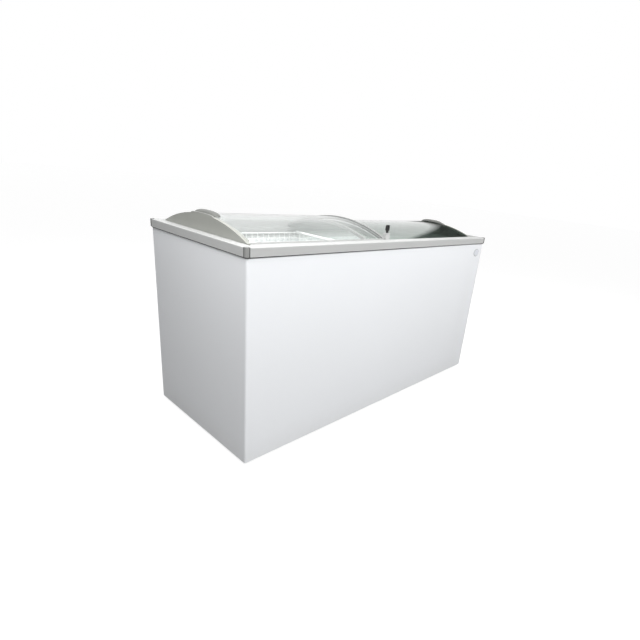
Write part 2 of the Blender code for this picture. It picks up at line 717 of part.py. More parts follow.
# ---------------------------------------------------------------- lids
def lid_end(name, side, radius, half, bottom_line):
    """The closed end of a lid: an arched plate with a shelf under the end of the glass."""
    outer = side * (HALF_LENGTH - LID_END)
    inner = side * (HALF_LENGTH - LID_END - END_THICKNESS)
    plate = prism(name, arch_line(radius + END_PROUD, half) + bottom_line, "x",
                  min(outer, inner), max(outer, inner), DARK_END)
    shelf_top = radius - GLASS - GAP
    reach = half - RUNNER_LIP - 2 * TRACK_WIDTH
    root = inner + side * END_THICKNESS / 3
    tip = inner - side * END_LEDGE_LENGTH
    shelf = prism(name + "_shelf_form", arch_band(shelf_top - END_LEDGE_DEPTH, shelf_top, reach), "x",
                  min(root, tip), max(root, tip), DARK_END)
    shape(plate, shelf, "UNION")
    return plate


def runner(name, side, half, floor, radius, start, end):
    """A plastic runner under one long edge of a glass, with a lip in front of the edge."""
    outer = half
    lip = half - RUNNER_LIP
    inner = half - TRACK_WIDTH + 2 * RUNNER_CLEARANCE
    bottom = floor + GAP
    lip_top = arch_height(radius, lip) + RUNNER_LIP_RISE
    outline = [(outer, bottom), (outer, lip_top), (lip, lip_top)]
    for y in (lip, (lip + inner) / 2, inner):
        outline.append((y, arch_height(radius - GLASS, y) - GAP))
    outline.append((inner, bottom))
    return prism(name, [(side * y, z) for y, z in outline], "x", start, end, GREY_RIM)


def glass_pane(name, half, radius, start, end):
    """A bent glass pane between its runners."""
    edge = half - RUNNER_LIP - GAP
    return prism(name, arch_band(radius - GLASS, radius, edge), "x", start, end, CLEAR_GLASS)


def handle(name, side, radius):
    """A low domed grip on the end of a lid, following the arch; its ends draw in to nothing."""
    rings = []
    outer = HALF_LENGTH - LID_END - HANDLE_INSET
    centre = side * (outer - HANDLE_WIDTH / 2)
    seat = radius + END_PROUD + GAP
    for k in range(HANDLE_STATIONS + 1):
        share = -math.cos(math.pi * (k + 0.5) / (HANDLE_STATIONS + 1))
        y = share * HANDLE_LENGTH / 2
        swell = (1 - share**4) ** 0.5
        width = HANDLE_WIDTH / 2 * (0.35 + 0.65 * swell)
        base = arch_height(seat, y)
        ring = [(centre + width, y, base), (centre - width, y, base)]
        dome = (HANDLE_HEIGHT - HANDLE_RIM) * swell
        for i in range(1, HANDLE_SIDES):
            angle = math.pi * (1 - i / HANDLE_SIDES)
            ring.append((centre + width * math.cos(angle), y,
                         base + HANDLE_RIM + dome * math.sin(angle)))
        rings.append(ring)
    return loft(name, rings, DARK_END, smooth=True)


def upper_lid():
    """The left lid, which runs in the outer and higher pair of tracks."""
    high, low = UPPER_TRACK + SLIDE_CLEARANCE, LOWER_TRACK + SLIDE_CLEARANCE
    bottom = [(UPPER_HALF, high), (LOWER_HALF, high), (LOWER_HALF, low),
              (-LOWER_HALF, low), (-LOWER_HALF, high), (-UPPER_HALF, high)]
    pieces = [lid_end("left_lid_end", -1, ARCH_RADIUS, UPPER_HALF, bottom)]
    start = -HALF_LENGTH + LID_END + END_THICKNESS + GAP
    end = UPPER_FREE - EDGE_TRIM - GAP
    pieces.append(glass_pane("left_lid_glass", UPPER_HALF, ARCH_RADIUS, start, end))
    for face, side in (("front", -1), ("rear", 1)):
        name = f"left_lid_runner_{face}"
        pieces.append(runner(name, side, UPPER_HALF, UPPER_TRACK, ARCH_RADIUS, start, end))
    trim_in = ARCH_RADIUS - GLASS - TRIM_BELOW
    trim_half = UPPER_HALF - RUNNER_LIP
    band = arch_band(trim_in, ARCH_RADIUS + TRIM_PROUD, trim_half)
    pieces.append(prism("left_lid_edge_trim", band, "x", end + GAP, UPPER_FREE, GREY_PLASTIC))
    seal_out = trim_in - GAP
    seal_in = LOWER_RADIUS + SEAL_CLEARANCE
    middle = UPPER_FREE - EDGE_TRIM / 2
    seal_half = LOWER_HALF - RUNNER_LIP - TRACK_WIDTH / 2
    pieces.append(prism("left_lid_brush_seal", arch_band(seal_in, seal_out, seal_half), "x",
                        middle - SEAL_WIDTH / 2, middle + SEAL_WIDTH / 2, BLACK_PLASTIC))
    pieces.append(handle("left_lid_handle", -1, ARCH_RADIUS))
    pieces.append(lock_housing())
    return pieces


def lower_lid():
    """The right lid, which runs in the inner and lower pair of tracks, under the other one."""
    bottom = [(LOWER_HALF, LOWER_TRACK + SLIDE_CLEARANCE), (-LOWER_HALF, LOWER_TRACK + SLIDE_CLEARANCE)]
    pieces = [lid_end("right_lid_end", 1, LOWER_RADIUS, LOWER_HALF, bottom)]
    start = LOWER_FREE + EDGE_TRIM + GAP
    end = HALF_LENGTH - LID_END - END_THICKNESS - GAP
    pieces.append(glass_pane("right_lid_glass", LOWER_HALF, LOWER_RADIUS, start, end))
    for face, side in (("front", -1), ("rear", 1)):
        name = f"right_lid_runner_{face}"
        pieces.append(runner(name, side, LOWER_HALF, LOWER_TRACK, LOWER_RADIUS, start, end))
    trim_in = LOWER_RADIUS - GLASS - TRIM_BELOW
    trim_half = LOWER_HALF - RUNNER_LIP
    band = arch_band(trim_in, LOWER_RADIUS + TRIM_PROUD, trim_half)
    pieces.append(prism("right_lid_edge_trim", band, "x", LOWER_FREE, start - GAP, GREY_PLASTIC))
    pieces.append(handle("right_lid_handle", 1, LOWER_RADIUS))
    return pieces


# ---------------------------------------------------------------- lock
def lock_axis():
    """Middle of the lock's barrel: just past the upper lid's free edge, over the upper track."""
    x = UPPER_FREE + GAP + LOCK_LENGTH / 2
    y = -(HALF_DEPTH - RIM_FLAT - LOCK_FROM_WALL)
    return x, y


def cam_level():
    return UPPER_TRACK + (LOCK_RAISE - CAM_THICKNESS - GAP) / 2


def lock_housing():
    x, y = lock_axis()
    bottom = UPPER_TRACK + LOCK_RAISE
    front = y - BARREL_RADIUS - HOUSING_WALL
    low = (x - LOCK_LENGTH / 2, front, bottom)
    high = (x + LOCK_LENGTH / 2, front + LOCK_DEPTH, bottom + LOCK_HEIGHT)
    made = rounded_box("lock_housing", low, high, HOUSING_ROUND, GREY_RIM)
    hole = BARREL_RADIUS + BARREL_CLEARANCE
    profile = [(hole, bottom - CUTTER_REACH), (hole, bottom + LOCK_HEIGHT + CUTTER_REACH)]
    cutter = lathe("barrel_cutter", profile, (x, y, 0), "z", STEEL)
    shape(made, cutter, "DIFFERENCE")
    return made


def lock_slot_cutter():
    """The slot in the front rim's track wall that the cam turns into."""
    x, y = lock_axis()
    wall = -(HALF_DEPTH - RIM_FLAT)
    level = cam_level()
    reach = CAM_REACH + SLOT_CLEARANCE
    low = (x - CAM_HALF_WIDTH - SLOT_CLEARANCE, y - reach, level - SLOT_CLEARANCE / 2)
    high = (x + reach, wall + SLOT_DEPTH, level + CAM_THICKNESS + SLOT_CLEARANCE / 2)
    return block("lock_slot_cutter", low, high, STEEL)


def lock_barrel():
    """The barrel with its key, and the cam on its lower end, which points along the track when open."""
    x, y = lock_axis()
    level = cam_level()
    bottom = level + CAM_THICKNESS / 2
    top = UPPER_TRACK + LOCK_RAISE + LOCK_HEIGHT + BARREL_PROUD
    profile = [(BARREL_RADIUS, bottom), (BARREL_RADIUS, top - BARREL_CHAMFER),
               (BARREL_RADIUS - BARREL_CHAMFER, top)]
    barrel = lathe("lock_barrel", profile, (x, y, 0), "z", STEEL)

    outline = []
    for k in range(9):
        angle = math.pi / 2 + math.pi * k / 8
        outline.append((x + CAM_HALF_WIDTH * math.cos(angle), y + CAM_HALF_WIDTH * math.sin(angle)))
    outline += [(x + CAM_REACH, y - CAM_HALF_WIDTH), (x + CAM_REACH, y + CAM_HALF_WIDTH)]
    cam = prism("cam_form", outline, "z", level, level + CAM_THICKNESS, STEEL)
    shape(barrel, cam, "UNION")

    shank = KEY_SHANK_HALF
    base = top + GAP
    bow = base + KEY_SHANK + KEY_BOW_RADIUS * 0.9
    outline = [(x - shank, base), (x + shank, base)]
    start = math.asin(shank / KEY_BOW_RADIUS)
    for k in range(ROUND_STEPS + 1):
        angle = -math.pi / 2 + start + (2 * math.pi - 2 * start) * k / ROUND_STEPS
        outline.append((x + KEY_BOW_RADIUS * math.cos(angle), bow + KEY_BOW_RADIUS * math.sin(angle)))
    key = prism("key", outline, "y", y - KEY_THICKNESS / 2, y + KEY_THICKNESS / 2, BLACK_PLASTIC)
    return [barrel, key]


# ---------------------------------------------------------------- basket
def basket():
    """A hanging basket: its front and rear rails rest on the collar's ledge."""
    left = -HALF_LENGTH + WALL + BASKET_START
    right = left + BASKET_LENGTH
    ledge_half = HALF_DEPTH - WALL - GAP - LEDGE_WIDTH
    body = ledge_half - BASKET_LEDGE_CLEARANCE
    rail = HALF_DEPTH - WALL - GAP - COLLAR_WALL - BASKET_RAIL_CLEARANCE
    under = LEDGE_TOP + GAP
    top = under + BASKET_RAIL
    bottom = top - BASKET_HEIGHT

    def ring(shrink, half, z):
        x0, x1 = left + shrink, right - shrink
        return [(x0, -half, z), (x1, -half, z), (x1, half, z), (x0, half, z)]

    wall, taper = BASKET_WALL, BASKET_TAPER
    rings = [ring(taper, body - taper, bottom), ring(0, body, under),
             ring(0, rail, under), ring(0, rail, top),
             ring(wall, body - wall, top), ring(wall + taper, body - wall - taper, bottom + wall)]
    made = loft("hanging_basket", rings, WHITE_WIRE)
    move_origin(made, (left, 0, under))


# ---------------------------------------------------------------- right side fittings
def grille():
    """The air intake: slanted slots in a plastic plate."""
    outer = HALF_LENGTH + PLATE_PROUD
    plate = block("intake_grille", (outer - GRILLE_THICKNESS, GRILLE_FRONT, GRILLE_LOW),
                  (outer, GRILLE_REAR, GRILLE_TOP), GREY_PLASTIC)
    pitch = (GRILLE_HEIGHT - 2 * GRILLE_FRAME) / GRILLE_SLOTS
    opening = pitch * SLOT_SHARE
    over = 0.001
    half = (GRILLE_WIDTH - 2 * GRILLE_FRAME - GRILLE_MULLION) / 2
    points, faces = [], []
    for k in range(GRILLE_SLOTS):
        z = GRILLE_LOW + GRILLE_FRAME + pitch * (k + 0.5)
        for sign in (-1, 1):
            middle = GRILLE_Y + sign * (half + GRILLE_MULLION) / 2
            at = len(points)
            for y in (middle - half / 2, middle + half / 2):
                for x, lift in ((outer - GRILLE_THICKNESS - over, GRILLE_THICKNESS / 2),
                                (outer + over, -GRILLE_THICKNESS / 2)):
                    points.append((x, y, z + lift - opening / 2))
                    points.append((x, y, z + lift + opening / 2))
            faces += [tuple(at + i for i in face) for face in
                      ((0, 1, 3, 2), (4, 6, 7, 5), (0, 4, 5, 1), (2, 3, 7, 6), (1, 5, 7, 3), (0, 2, 6, 4))]
    shape(plate, add("slot_cutter", points, faces, STEEL), "DIFFERENCE")


def control_floor():
    """Height (x) of the floor of the control panel's pocket."""
    return HALF_LENGTH + PLATE_PROUD - CONTROL_DEPTH


def knob_place():
    return CONTROL_Y, CONTROL_LOW + KNOB_RISE


def rocker_place():
    return CONTROL_Y, CONTROL_LOW + ROCKER_RISE


def controls():
    """A dished plate in the right side panel, with the thermostat's knob and the power switch."""
    low_y, high_y = CONTROL_Y - CONTROL_WIDTH / 2, CONTROL_Y + CONTROL_WIDTH / 2
    outer, floor, wall = HALF_LENGTH + PLATE_PROUD, control_floor(), CONTROL_WALL
    dish = block("control_panel", (floor - wall, low_y, CONTROL_LOW), (outer, high_y, CONTROL_TOP),
                 GREY_PLASTIC)
    pocket = block("pocket_cutter", (floor, low_y + wall, CONTROL_LOW + wall),
                   (outer + CUTTER_REACH, high_y - wall, CONTROL_TOP - wall), STEEL)
    shape(dish, pocket, "DIFFERENCE")
    knob_y, knob_z = knob_place()
    hole = SHAFT_RADIUS + SHAFT_CLEARANCE
    cutter = lathe("shaft_cutter", [(hole, -2 * CUTTER_REACH), (hole, 2 * CUTTER_REACH)],
                   (floor, knob_y, knob_z), "x", STEEL)
    shape(dish, cutter, "DIFFERENCE")

    half = THERMOSTAT_HALF
    back = floor - wall - GAP
    body = block("thermostat", (back - THERMOSTAT_DEPTH, knob_y - half, knob_z - half),
                 (back, knob_y + half, knob_z + half), STEEL)
    profile = [(SHAFT_RADIUS, -THERMOSTAT_DEPTH / 3), (SHAFT_RADIUS, wall + GAP + SHAFT_PROUD)]
    shaft = lathe("shaft_form", profile, (back, knob_y, knob_z), "x", STEEL, steps=12)
    shape(body, shaft, "UNION")

    start = floor + SHAFT_PROUD + 2 * GAP
    profile = [(KNOB_RADIUS, start), (KNOB_RADIUS, start + KNOB_DISC - KNOB_CHAMFER),
               (KNOB_RADIUS - KNOB_CHAMFER, start + KNOB_DISC)]
    knob = lathe("thermostat_knob", profile, (0, knob_y, knob_z), "x", WHITE_WIRE)
    reach = KNOB_RADIUS * GRIP_REACH
    grip = block("grip_form", (start + KNOB_CHAMFER, knob_y - GRIP_HALF_WIDTH, knob_z - reach),
                 (start + KNOB_DEPTH, knob_y + GRIP_HALF_WIDTH, knob_z + reach), WHITE_WIRE)
    shape(knob, grip, "UNION")
    for part in (knob, grip):
        move_origin(part, (start, knob_y, knob_z))

    rocker_y, rocker_z = rocker_place()
    pivot = floor + ROCKER_PIVOT
    half = ROCKER_LENGTH / 2
    outline = [(-0.004, -half * 0.5), (0.004, -half), (0.0025, 0.0), (0.004, half), (-0.004, half * 0.5)]
    turned = []
    for x, z in outline:
        turned.append((pivot + x * math.cos(ROCKER_TILT) + z * math.sin(ROCKER_TILT),
                       rocker_z - x * math.sin(ROCKER_TILT) + z * math.cos(ROCKER_TILT)))
    rocker = prism("power_switch", turned, "y", rocker_y - ROCKER_WIDTH / 2,
                   rocker_y + ROCKER_WIDTH / 2, RED)
    move_origin(rocker, (pivot, rocker_y, rocker_z))

    gland_y, gland_z = gland_place()
    profile = [(GLAND_NECK, -GLAND_DEPTH), (GLAND_NECK, GAP), (GLAND_RADIUS, GAP),
               (GLAND_RADIUS, GLAND_PROUD * 0.6), (GLAND_NECK, GLAND_PROUD)]
    lathe("mains_inlet_bush", profile, (HALF_LENGTH, gland_y, gland_z), "x", BLACK_PLASTIC)


# ---------------------------------------------------------------- machinery
def fan_axis():
    return GRILLE_Y, (GRILLE_LOW + GRILLE_TOP) / 2


def condenser():
    """A block of upright fins on a core, behind the grille."""
    middle = (CONDENSER_X0 + CONDENSER_X1) / 2
    pitch = (CONDENSER_REAR - CONDENSER_FRONT) / CONDENSER_FINS
    fin = pitch * 0.25
    outline = []
    for face, order in ((CONDENSER_X1, 1), (CONDENSER_X0, -1)):
        base = middle + CONDENSER_CORE * order
        for k in range(CONDENSER_FINS):
            start = CONDENSER_FRONT if order == 1 else CONDENSER_REAR
            y = start + order * pitch * (k + 0.5)
            outline += [(base, y - order * fin), (face, y - order * fin),
                        (face, y + order * fin), (base, y + order * fin)]
    prism("condenser", outline, "z", PAN_TOP + CONDENSER_RAISE, CONDENSER_TOP, GALVANISED)


def fan():
    """Shroud, motor on its bracket, and the blade, which turns about X."""
    y, z = fan_axis()
    shroud_x1 = CONDENSER_X0 - SHROUD_TO_CONDENSER
    shroud_x0 = shroud_x1 - SHROUD
    half = SHROUD_SIZE / 2
    plate = block("fan_shroud", (shroud_x0, y - half, z - half), (shroud_x1, y + half, z + half),
                  BLACK_STEEL)
    hole = FAN_RADIUS + FAN_TIP_CLEARANCE
    cutter = lathe("shroud_cutter", [(hole, -2 * CUTTER_REACH), (hole, 2 * CUTTER_REACH)],
                   (shroud_x0, y, z), "x", STEEL, steps=36)
    shape(plate, cutter, "DIFFERENCE")

    blade_x1 = shroud_x1 - 0.001
    blade_x0 = blade_x1 - FAN_DEPTH
    bore = SHAFT_RADIUS + SHAFT_CLEARANCE
    hub = lathe("fan_blade", [(FAN_HUB, blade_x0), (FAN_HUB, blade_x1), (bore, blade_x1), (bore, blade_x0)],
                (0, y, z), "x", BLACK_PLASTIC, steps=20, closed=True)
    points, faces = [], []
    for k in range(FAN_BLADES):
        at = len(points)
        for radius, share in ((FAN_HUB - 0.003, 0.5), (FAN_RADIUS * 0.6, 0.42), (FAN_RADIUS, 0.36)):
            width = share * 2 * math.pi / FAN_BLADES
            for edge, lean in ((-1, 0.1), (1, 0.9)):
                angle = 2 * math.pi * k / FAN_BLADES + edge * width
                for side in (-BLADE_HALF_THICKNESS, BLADE_HALF_THICKNESS):
                    points.append((blade_x0 + FAN_DEPTH * lean + side, y + radius * math.cos(angle),
                                   z + radius * math.sin(angle)))
        for ring in (0, 4):
            a, b = at + ring, at + ring + 4
            faces += [(a, b, b + 2, a + 2), (a + 1, a + 3, b + 3, b + 1),
                      (a, a + 1, b + 1, b), (a + 2, b + 2, b + 3, a + 3)]
        faces += [(at, at + 2, at + 3, at + 1), (at + 8, at + 9, at + 11, at + 10)]
    vanes = add("vane_form", points, faces, BLACK_PLASTIC)
    shape(hub, vanes, "UNION")
    for part in (hub, vanes):
        move_origin(part, (blade_x0, y, z))

    motor_x1 = blade_x0 - MOTOR_TO_BLADE
    motor_x0 = motor_x1 - MOTOR_LENGTH
    chamfer = 0.006
    profile = [(MOTOR_RADIUS * 0.8, motor_x0), (MOTOR_RADIUS, motor_x0 + chamfer),
               (MOTOR_RADIUS, motor_x1 - chamfer), (MOTOR_RADIUS * 0.7, motor_x1),
               (SHAFT_RADIUS, motor_x1), (SHAFT_RADIUS, blade_x1 - 0.002)]
    motor = lathe("fan_motor", profile, (0, y, z), "x", BLACK_STEEL)

    foot, thick, width = BRACKET_FOOT, BRACKET_THICKNESS, BRACKET_WIDTH
    x = motor_x0 + MOTOR_LENGTH / 2
    low, high = PAN_TOP + GAP, z - MOTOR_RADIUS / 2
    outline = [(x - thick / 2, low), (x + foot, low), (x + foot, low + thick), (x + thick / 2, low + thick),
               (x + thick / 2, high), (x - thick / 2, high)]
    bracket = prism("bracket_form", outline, "y", y - width / 2, y + width / 2, BLACK_STEEL)
    shape(motor, bracket, "UNION")


def compressor():
    """A welded pot on a channel, with its terminal box."""
    x, y = COMPRESSOR_X, COMPRESSOR_Y
    low, top = PAN_TOP + GAP, CHANNEL_TOP
    half_x, half_y, thick = COMPRESSOR_RADIUS + 0.012, COMPRESSOR_RADIUS * 0.85, 0.0025
    leg = 0.020
    outline = [(x - half_x, low), (x - half_x + leg, low), (x - half_x + leg, top - thick),
               (x + half_x - leg, top - thick), (x + half_x - leg, low), (x + half_x, low),
               (x + half_x, top), (x - half_x, top)]
    prism("compressor_channel", outline, "y", y - half_y, y + half_y, BLACK_STEEL)

    base = top + GAP
    height, radius = COMPRESSOR_HEIGHT, COMPRESSOR_RADIUS
    profile = []
    for k in range(5):
        angle = -math.pi / 2 + math.pi / 2 * k / 4
        profile.append((radius * (0.70 + 0.26 * math.cos(angle)),
                        base + height * (0.18 + 0.18 * math.sin(angle))))
    profile += [(radius * 0.96, base + height * 0.50), (radius, base + height * 0.50),
                (radius, base + height * 0.53), (radius * 0.96, base + height * 0.53)]
    for k in range(6):
        angle = math.pi / 2 * k / 5
        profile.append((radius * (0.36 + 0.60 * math.cos(angle)),
                        base + height * (0.72 + 0.28 * math.sin(angle))))
    lathe("compressor", profile, (x, y, 0), "z", BLACK_STEEL, steps=28)
    face = x + radius + 0.001
    block("compressor_terminal_box", (face, y - TERMINAL_HALF, base + TERMINAL_LOW),
          (face + TERMINAL_DEPTH, y + TERMINAL_HALF, base + TERMINAL_HIGH), GREY_PLASTIC)


def discharge_pipe():
    """Hot gas from the compressor's side to the top of the condenser."""
    end_x, end_y = CONDENSER_X0 - PIPE_CLEARANCE, CONDENSER_REAR - PIPE_FROM_EDGE
    x, side = COMPRESSOR_X, COMPRESSOR_Y - COMPRESSOR_RADIUS - PIPE_CLEARANCE
    low, high = CHANNEL_TOP + PIPE_START, CONDENSER_TOP - PIPE_DROP
    route = [(x, side, low), (x, side - 0.020, low + 0.002), (x + 0.020, side - 0.035, low + 0.025),
             (x + 0.070, side - 0.030, high - 0.0172), (x + 0.115, end_y - 0.010, high),
             (end_x, end_y, high)]
    tube("discharge_pipe", smooth_route(route), PIPE_RADIUS, COPPER)


# ---------------------------------------------------------------- drain
def drain():
    """A tube through the floor, and the plug that closes it from inside the tub."""
    outer = DRAIN_BORE + DRAIN_WALL
    top = TUB_FLOOR
    profile = [(outer, BASE - DRAIN_BELOW), (outer, top), (DRAIN_BORE, top), (DRAIN_BORE, BASE - DRAIN_BELOW)]
    lathe("drain_tube", profile, (DRAIN_X, 0, 0), "z", GREY_PLASTIC, closed=True)
    stem = DRAIN_BORE - PLUG_CLEARANCE
    chamfer = 0.0015
    profile = [(stem - chamfer, top - PLUG_STEM), (stem, top - PLUG_STEM + 2 * chamfer), (stem, top + GAP),
               (PLUG_RADIUS, top + GAP), (PLUG_RADIUS, top + PLUG_HEAD - chamfer),
               (PLUG_RADIUS - chamfer, top + PLUG_HEAD)]
    plug = lathe("drain_plug", profile, (DRAIN_X, 0, 0), "z", RUBBER)
    move_origin(plug, (DRAIN_X, 0, top))


# ---------------------------------------------------------------- the whole freezer
cabinet_shell()
feet()
foam_slabs()
liner()
collar()
evaporator()
rims()
moving_group("left_lid", (-HALF_LENGTH + LID_END, 0, RIM_TOP), upper_lid())
moving_group("right_lid", (HALF_LENGTH - LID_END, 0, RIM_TOP), lower_lid())
moving_group("lock_turn", (*lock_axis(), UPPER_TRACK), lock_barrel())
basket()
grille()
controls()
condenser()
fan()
compressor()
discharge_pipe()
drain()
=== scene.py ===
import math

import bmesh
import bpy
import numpy as np
from mathutils import Matrix, Vector


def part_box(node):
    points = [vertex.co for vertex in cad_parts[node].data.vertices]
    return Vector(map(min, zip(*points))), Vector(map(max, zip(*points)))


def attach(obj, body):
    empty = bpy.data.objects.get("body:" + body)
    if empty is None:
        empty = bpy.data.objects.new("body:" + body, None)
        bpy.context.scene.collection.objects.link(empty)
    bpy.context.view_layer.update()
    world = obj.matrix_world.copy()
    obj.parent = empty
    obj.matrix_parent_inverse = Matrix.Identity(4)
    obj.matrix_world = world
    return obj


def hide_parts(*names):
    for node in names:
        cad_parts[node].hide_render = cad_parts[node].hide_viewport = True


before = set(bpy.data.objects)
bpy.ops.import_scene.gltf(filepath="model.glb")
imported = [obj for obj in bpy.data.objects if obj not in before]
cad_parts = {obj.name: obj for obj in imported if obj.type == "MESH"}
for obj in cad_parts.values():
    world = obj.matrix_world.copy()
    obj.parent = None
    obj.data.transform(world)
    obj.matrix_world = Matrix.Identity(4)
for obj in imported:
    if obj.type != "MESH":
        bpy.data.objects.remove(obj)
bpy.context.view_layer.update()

# ---- sizes that only the visible pieces have, in metres; the rest come from the frame's boxes
GLASS = 0.004                # thickness of both panes
EDGE_ROUND = 0.0007          # the rounding of a pane's and a key's edges

GRIP_STATIONS = 44
GRIP_RIM = 0.16              # upright edge under the dome, as a share of its rise
GRIP_NARROWEST = 0.35        # width at the tips, as a share of the middle's
LIP_STATIONS = 40
LIP_OVERHANG = 0.006         # how much further than the grip the lip runs, at each end
LIP_PROUD = 0.0005
LIP_HALF_SIZE = (0.0036, 0.0028)
LIP_TAPER = 0.10             # share of the half length in which it thins out

BRISTLE_ROWS = 2
BRISTLES = 170
BRISTLE_THICKNESS = 0.0009
BRISTLE_LEAN = 0.0006
BRISTLE_GAP = 0.0018         # tips to the lower pane

KEY_HEAD = 0.025
KEY_EYE = 0.0024             # radius
KEY_EYE_RISE = 0.45          # above the head's middle, as a share of its half height
KEY_THICKNESS = 0.0060
KEY_SHANK = (0.0052, 0.0026)  # half width and half depth
KEY_SEGMENTS = 40

BASKET_FRAME_WIRE = 0.0030   # radius of the top hoop
BASKET_HOOP_WIRE = 0.0022    # radius of the hoops half way down and at the bottom
BASKET_WIRE = 0.0015         # radius of the rest
BASKET_PITCH = 0.030         # from wire to wire
BASKET_TAPER = 0.012         # how much each side comes in towards the bottom
BASKET_CORNER = 0.020        # how far from a hoop's corner its turn starts
BASKET_BEND = 0.012          # how far from a wire's bend its turn starts
BASKET_EDGE = 0.022          # end of a side to its first wire
BASKET_TOP_GAP = 0.001       # top of the basket's box to its hoop and bars
RAIL_HEIGHT = 0.008
RAIL_WIDTH = 0.012
RAIL_INSET = 0.004           # end of the basket to the rail's end
RAIL_DROP = 0.003            # top of the basket's box to the rail's top
RAIL_ROUND = 0.0014
BAR_RADIUS = 0.0062          # the two bars across the basket's ends
BAR_FLATNESS = 0.82          # height over width
BAR_STATIONS = 61
KNOB_RADIUS = 0.0088
KNOB_FROM, KNOB_SHARE = 0.86, 0.14    # where along a half bar it starts, and the share it takes
TIP_FROM, TIP_SHARE = 0.965, 0.036    # the same for its rounded tip

PLATE_HALF_HEIGHT = 0.0185
PLATE_STRETCH = 1.36         # its length over its height
PLATE_THICKNESS = 0.0022
PLATE_FROM_RIGHT = 0.062
PLATE_FROM_TOP = 0.050
PLATE_LIFT = 0.0003          # the hidden underside's distance from the panel
PLATE_SEGMENTS = 56

SCREW_RADIUS = 0.0042
SCREW_HEIGHT = 0.0016
SCREW_SEGMENTS = 32
SCREW_INSETS = (("intake_grille", 0.006), ("control_panel", 0.0055))
REAR_SCREWS = 6              # in each of the rear panel's two rows
REAR_SCREW_INSET = 0.05      # panel's ends to the rows' ends
REAR_SCREW_RISE, REAR_SCREW_DROP = 0.014, 0.016       # panel's bottom and top to the rows
SLOT_SHARE = 0.6             # how far out the cross reaches
SLOT_DEPTH = 0.72            # as a share of the screw's height
SLOT_SPREAD = 0.42

# The seams are dark strips of painted shade in the joints between the corner caps and the rims
SEAM_WIDTH = 0.0024
SEAM_PROUD = 0.0004
SEAM_BED = 0.002             # how deep a seam reaches into an outer face
SEAM_TOP_BED = 0.001         # and into the top
SEAM_CLEAR = 0.0002          # cap's underside to the seam
# The strip is a dark band of painted shadow under the rim's overhang
STRIP_DROP = 0.0014          # panel's top edge to the middle of the painted shadow strip
STRIP_PROUD = 0.0010
STRIP_CORNER = 0.0075
STRIP_HALF_SIZE = (0.0013, 0.0010)

PIPE_RADIUS = 0.0035
DRIER_RADIUS = 0.0105
DRIER_FROM_FINS = 0.146
LIQUID_LINE_Y = -0.222

DIAL_MARKS = 8
DIAL_START, DIAL_END = 225, -45       # degrees from the rear, upwards
DIAL_GAP = 0.0035            # knob to the marks
DIAL_SINK = 0.0012           # knob's back to the marks' plane
DIAL_SHORTEST, DIAL_GROWTH = 0.0022, 0.0005
DIAL_HALF_SIZE = (0.0004, 0.0005)

SQUARE = [(-1, -1), (1, -1), (1, 1), (-1, 1)]

# ---- the studio; angles in degrees, azimuths from +Y towards +X
CAMERA_PLACE = (-1.475, -1.400, 0.996)
CAMERA_AZIMUTH, CAMERA_DOWN, CAMERA_ROLL = 50.36, 20.13, 6.48
LENS, SENSOR = 23.69, 36.0   # millimetres
LENS_SHIFT = (-0.0703, 0.0281)
FLOOR_HALF = 30.0
AMBIENT = 0.40               # the white surround's light on matt surfaces
MIRRORED_WHITE = 1.02        # and its brightness in reflections
FLAG_LEFT = 53.2             # at the horizon
FLAG_LEAN = 0.45             # how far the left edge moves for each degree up
FLAG_RIGHT = 118.0
FLAG_TOP = 34.0
FLAG_SOFT = 1.8              # how wide its edges fade
FLAG_DEPTH = 0.97            # share of the white that it takes away


# ---------------------------------------------------------------- shader wiring
class Wire:
    """An output socket of a material's nodes. Arithmetic on it adds Math nodes."""

    def __init__(self, tree, socket=None):
        self.tree, self.socket = tree, socket

    def node(self, kind, settings=None, inputs=None, output=0):
        """Add a node of this kind, set it up, feed its sockets and return one of its outputs."""
        made = self.tree.nodes.new("ShaderNode" + kind)
        for name, value in (settings or {}).items():
            setattr(made, name, value)
        for name, value in (inputs or {}).items():
            if isinstance(value, Wire):
                self.tree.links.new(value.socket, made.inputs[name])
            else:
                made.inputs[name].default_value = value
        return Wire(self.tree, made.outputs[output] if made.outputs else None)

    def maths(self, operation, first, second=0.0):
        """A Math node on two values; those that need only one leave the second out."""
        return self.node("Math", {"operation": operation}, {0: first, 1: second})

    def __add__(self, other):
        return self.maths("ADD", self, other)

    def __sub__(self, other):
        return self.maths("SUBTRACT", self, other)

    def __rsub__(self, other):
        return self.maths("SUBTRACT", other, self)

    def __mul__(self, other):
        return self.maths("MULTIPLY", self, other)

    def __pow__(self, other):
        return self.maths("POWER", self, other)

    __radd__ = __add__
    __rmul__ = __mul__

    def clipped(self):
        """The value held between 0 and 1."""
        return self.maths("MAXIMUM", self.maths("MINIMUM", self, 1.0), 0.0)

    def tint(self, share, first, second):
        """A colour between two colours."""
        first, second = ((*c, 1.0) if isinstance(c, tuple) else c for c in (first, second))
        return self.node("Mix", {"data_type": "RGBA"}, {0: share, 6: first, 7: second}, output=2)

    def noise(self, place, scale, detail=2.0):
        """Clouds between 0 and 1, about 1/scale metres across."""
        return self.node("TexNoise", inputs={"Vector": place, "Scale": scale, "Detail": detail})

    def relief(self, height, distance, strength=1.0):
        """A normal that follows a height, which stands for that distance where it is 1."""
        return self.node("Bump", inputs={"Height": height, "Distance": distance,
                                         "Strength": strength})


def scaled(values, factor):
    """Three values times a factor, or each times its own factor."""
    factors = factor if isinstance(factor, tuple) else (factor,) * 3
    return tuple(value * part for value, part in zip(values, factors))


def start(name):
    """An empty material, its wiring and the piece's own coordinates."""
    made = bpy.data.materials.new(name)
    made.use_nodes = True
    made.node_tree.nodes.clear()
    wire = Wire(made.node_tree)
    return made, wire, wire.node("TexCoord", output="Object")


